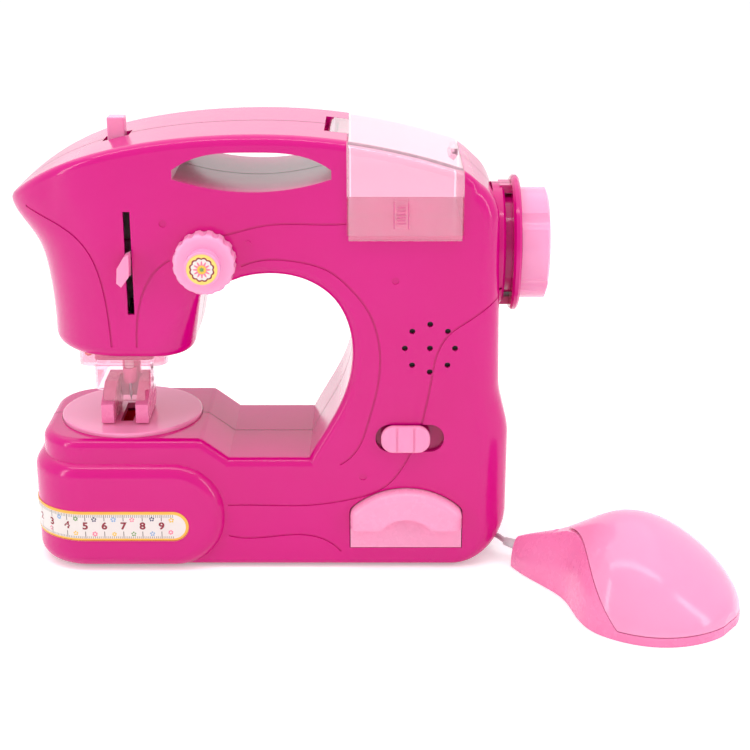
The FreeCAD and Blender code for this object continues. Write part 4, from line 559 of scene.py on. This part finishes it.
def seamSide(node, low, high):
    # the skin of one half shell between two planes, without the faces that meet the other half
    side = bmesh.new()
    side.from_mesh(bpy.data.objects[node].data)
    bmesh.ops.remove_doubles(side, verts=side.verts, dist=seamLine["weld"] * mm)
    for level, cut in ((low, {"clear_inner": True}), (high, {"clear_outer": True})):
        bmesh.ops.bisect_plane(side, geom=side.verts[:] + side.edges[:] + side.faces[:],
                               plane_co=(0, level * mm, 0), plane_no=(0, 1, 0), **cut)
    meeting = [face for face in side.faces if abs(face.normal.y) > seamLine["flat"]]
    bmesh.ops.delete(side, geom=meeting, context="FACES")
    side.normal_update()
    for point in side.verts:
        point.co += point.normal * seamLine["lift"] * mm
    return side


seam = joinShapes([seamSide("front_shell", -seamLine["half"], 0.0),
                   seamSide("rear_shell", 0.0, seamLine["half"])])
keepPiece("housing_seam", seam, "machine",
          plainMoulding("shadow in the seam of two ABS halves, dull and dark", ("#6b0a40", "#7a0c49"),
                        sheen=(0.5, 0.6), grain=1.0))

say("dial label")
dialLabel = {"x": -25.0, "z": 146.2, "face": 52.0, "sides": 144}
waves = {"scallops": lambda turn: abs(math.sin(turn)), "petals": lambda turn: math.cos(turn) ** 2,
         "points": lambda turn: math.cos(turn), "round": lambda turn: 0.0}
# a printed rosette: each layer reaches out from the middle by reach, and by swing more where its wave is one
rosette = {
    "dial_scallop_print": {"ink": "brown", "reach": 4.9, "swing": 0.55, "wave": "scallops", "lobes": 6,
                           "lift": 0.04},
    "dial_ring_print": {"ink": "white", "reach": 4.25, "swing": 0.5, "wave": "scallops", "lobes": 6,
                        "lift": 0.06},
    "dial_petals_print": {"ink": "pink", "reach": 2.1, "swing": 1.7, "wave": "petals", "lobes": 6,
                          "lift": 0.08},
    "dial_heart_print": {"ink": "yellow", "reach": 1.9, "swing": 0.0, "wave": "round", "lobes": 1,
                         "lift": 0.10},
    "dial_dot_print": {"ink": "green", "reach": 0.9, "swing": 0.25, "wave": "points", "lobes": 8,
                       "lift": 0.12}}


def dialShape(layer):
    # a flat printed disc whose edge follows the layer's wave
    shape = bmesh.new()
    middle = Vector((dialLabel["x"], -(dialLabel["face"] + layer["lift"]), dialLabel["z"]))
    bmesh.ops.create_circle(shape, cap_ends=True, cap_tris=True, segments=dialLabel["sides"], radius=1.0)
    for point in shape.verts:
        across, up = point.co.x, point.co.y  # both are zero at the middle, where reach makes no difference
        turn = layer["lobes"] * math.atan2(up, across)
        reach = layer["reach"] + layer["swing"] * waves[layer["wave"]](turn)
        point.co = (middle + Vector((across * reach, 0, up * reach))) * mm
    bmesh.ops.recalc_face_normals(shape, faces=shape.faces)
    for face in shape.faces:
        if face.normal.y > 0:
            face.normal_flip()
    return shape


for name, layer in rosette.items():
    keepPiece(name, dialShape(layer), "dial_body", labelInk[layer["ink"]])

say("floor and light")
studio = {"floorHalf": 9.0, "floorDrop": 0.2, "floorGlow": 0.3, "soft": 0.72, "seen": 1.0,
          "mirroredInFront": 0.6, "mirroredBehind": 1.35}
white = linear("#ffffff")


def anyRay(tree, *kinds):
    # 1 for a ray of any of these kinds
    rays = addNode(tree, "ShaderNodeLightPath")
    found = rays.outputs[kinds[0]]
    for kind in kinds[1:]:
        found = addNode(tree, "ShaderNodeMath", {"operation": "MAXIMUM"},
                        {0: found, 1: rays.outputs[kind]}).outputs[0]
    return found


# white paper sweep: plain and matt, and bright where it is seen, so that it meets the background
def paperSweep():
    material = bpy.data.materials.new("white paper sweep")
    tree = startTree(material)
    paper = addNode(tree, "ShaderNodeBsdfDiffuse", {"Color": white})
    bright = addNode(tree, "ShaderNodeEmission", {"Color": white, "Strength": studio["floorGlow"]})
    both = addNode(tree, "ShaderNodeAddShader", links={0: paper.outputs[0], 1: bright.outputs[0]})
    seen = anyRay(tree, "Is Camera Ray", "Is Glossy Ray", "Is Transmission Ray")
    sweep = addNode(tree, "ShaderNodeMixShader", links={0: seen, 1: paper.outputs[0], 2: both.outputs[0]})
    addNode(tree, "ShaderNodeOutputMaterial", links={"Surface": sweep.outputs[0]})
    return material


floorShape = bmesh.new()
bmesh.ops.create_grid(floorShape, x_segments=1, y_segments=1, size=studio["floorHalf"])
floorMesh = bpy.data.meshes.new("studio_floor")
floorShape.to_mesh(floorMesh)
floorShape.free()
floorMesh.materials.append(paperSweep())
studioFloor = newObject("studio_floor", floorMesh)
studioFloor.location.z = -studio["floorDrop"] * mm

# white for what the camera sees; surfaces mirror a sweep that is brightest behind the object
world = bpy.data.worlds.new("white studio")
bpy.context.scene.world = world
tree = startTree(world)
direction = addNode(tree, "ShaderNodeTexCoord").outputs["Generated"]
split = addNode(tree, "ShaderNodeSeparateXYZ", links={"Vector": direction})
mirrored = addNode(tree, "ShaderNodeMapRange",
                   {"From Min": -1.0, "From Max": 1.0, "To Min": studio["mirroredInFront"],
                    "To Max": studio["mirroredBehind"]}, {"Value": split.outputs["Y"]})
soft = addNode(tree, "ShaderNodeBackground", {"Color": white, "Strength": studio["soft"]})
sheen = addNode(tree, "ShaderNodeBackground", {"Color": white}, {"Strength": mirrored.outputs["Result"]})
plain = addNode(tree, "ShaderNodeBackground", {"Color": white, "Strength": studio["seen"]})
glossy = addNode(tree, "ShaderNodeMixShader",
                 links={0: anyRay(tree, "Is Glossy Ray"), 1: soft.outputs[0], 2: sheen.outputs[0]})
sky = addNode(tree, "ShaderNodeMixShader",
              links={0: anyRay(tree, "Is Camera Ray", "Is Transmission Ray"), 1: glossy.outputs[0],
                     2: plain.outputs[0]})
addNode(tree, "ShaderNodeOutputWorld", links={"Surface": sky.outputs[0]})

# soft boxes, placed and sized in metres
lamps = {
    "overhead": {"at": (0.0, 0.2, 0.9), "aim": (0.02, 0.0, 0.1), "size": (1.4, 0.9), "watts": 3.2},
    "long_strip": {"at": (0.0, -0.28, 0.85), "aim": (0.02, 0.0, 0.12), "size": (1.1, 0.07), "watts": 2.0},
    "left_strip": {"at": (-0.75, -0.5, 0.4), "aim": (0.0, 0.0, 0.12), "size": (0.1, 0.7), "watts": 1.6},
    "right_strip": {"at": (0.78, -0.45, 0.4), "aim": (0.05, 0.0, 0.12), "size": (0.1, 0.7), "watts": 1.6}}
for name, lamp in lamps.items():
    light = bpy.data.lights.new(name, "AREA")
    light.shape = "RECTANGLE"
    light.size, light.size_y = lamp["size"]
    light.energy = lamp["watts"]
    holder = newObject(name, light)
    holder.location = lamp["at"]
    holder.rotation_euler = (Vector(lamp["aim"]) - Vector(lamp["at"])).to_track_quat("-Z", "Y").to_euler()
bpy.context.scene.view_settings.view_transform = "Standard"
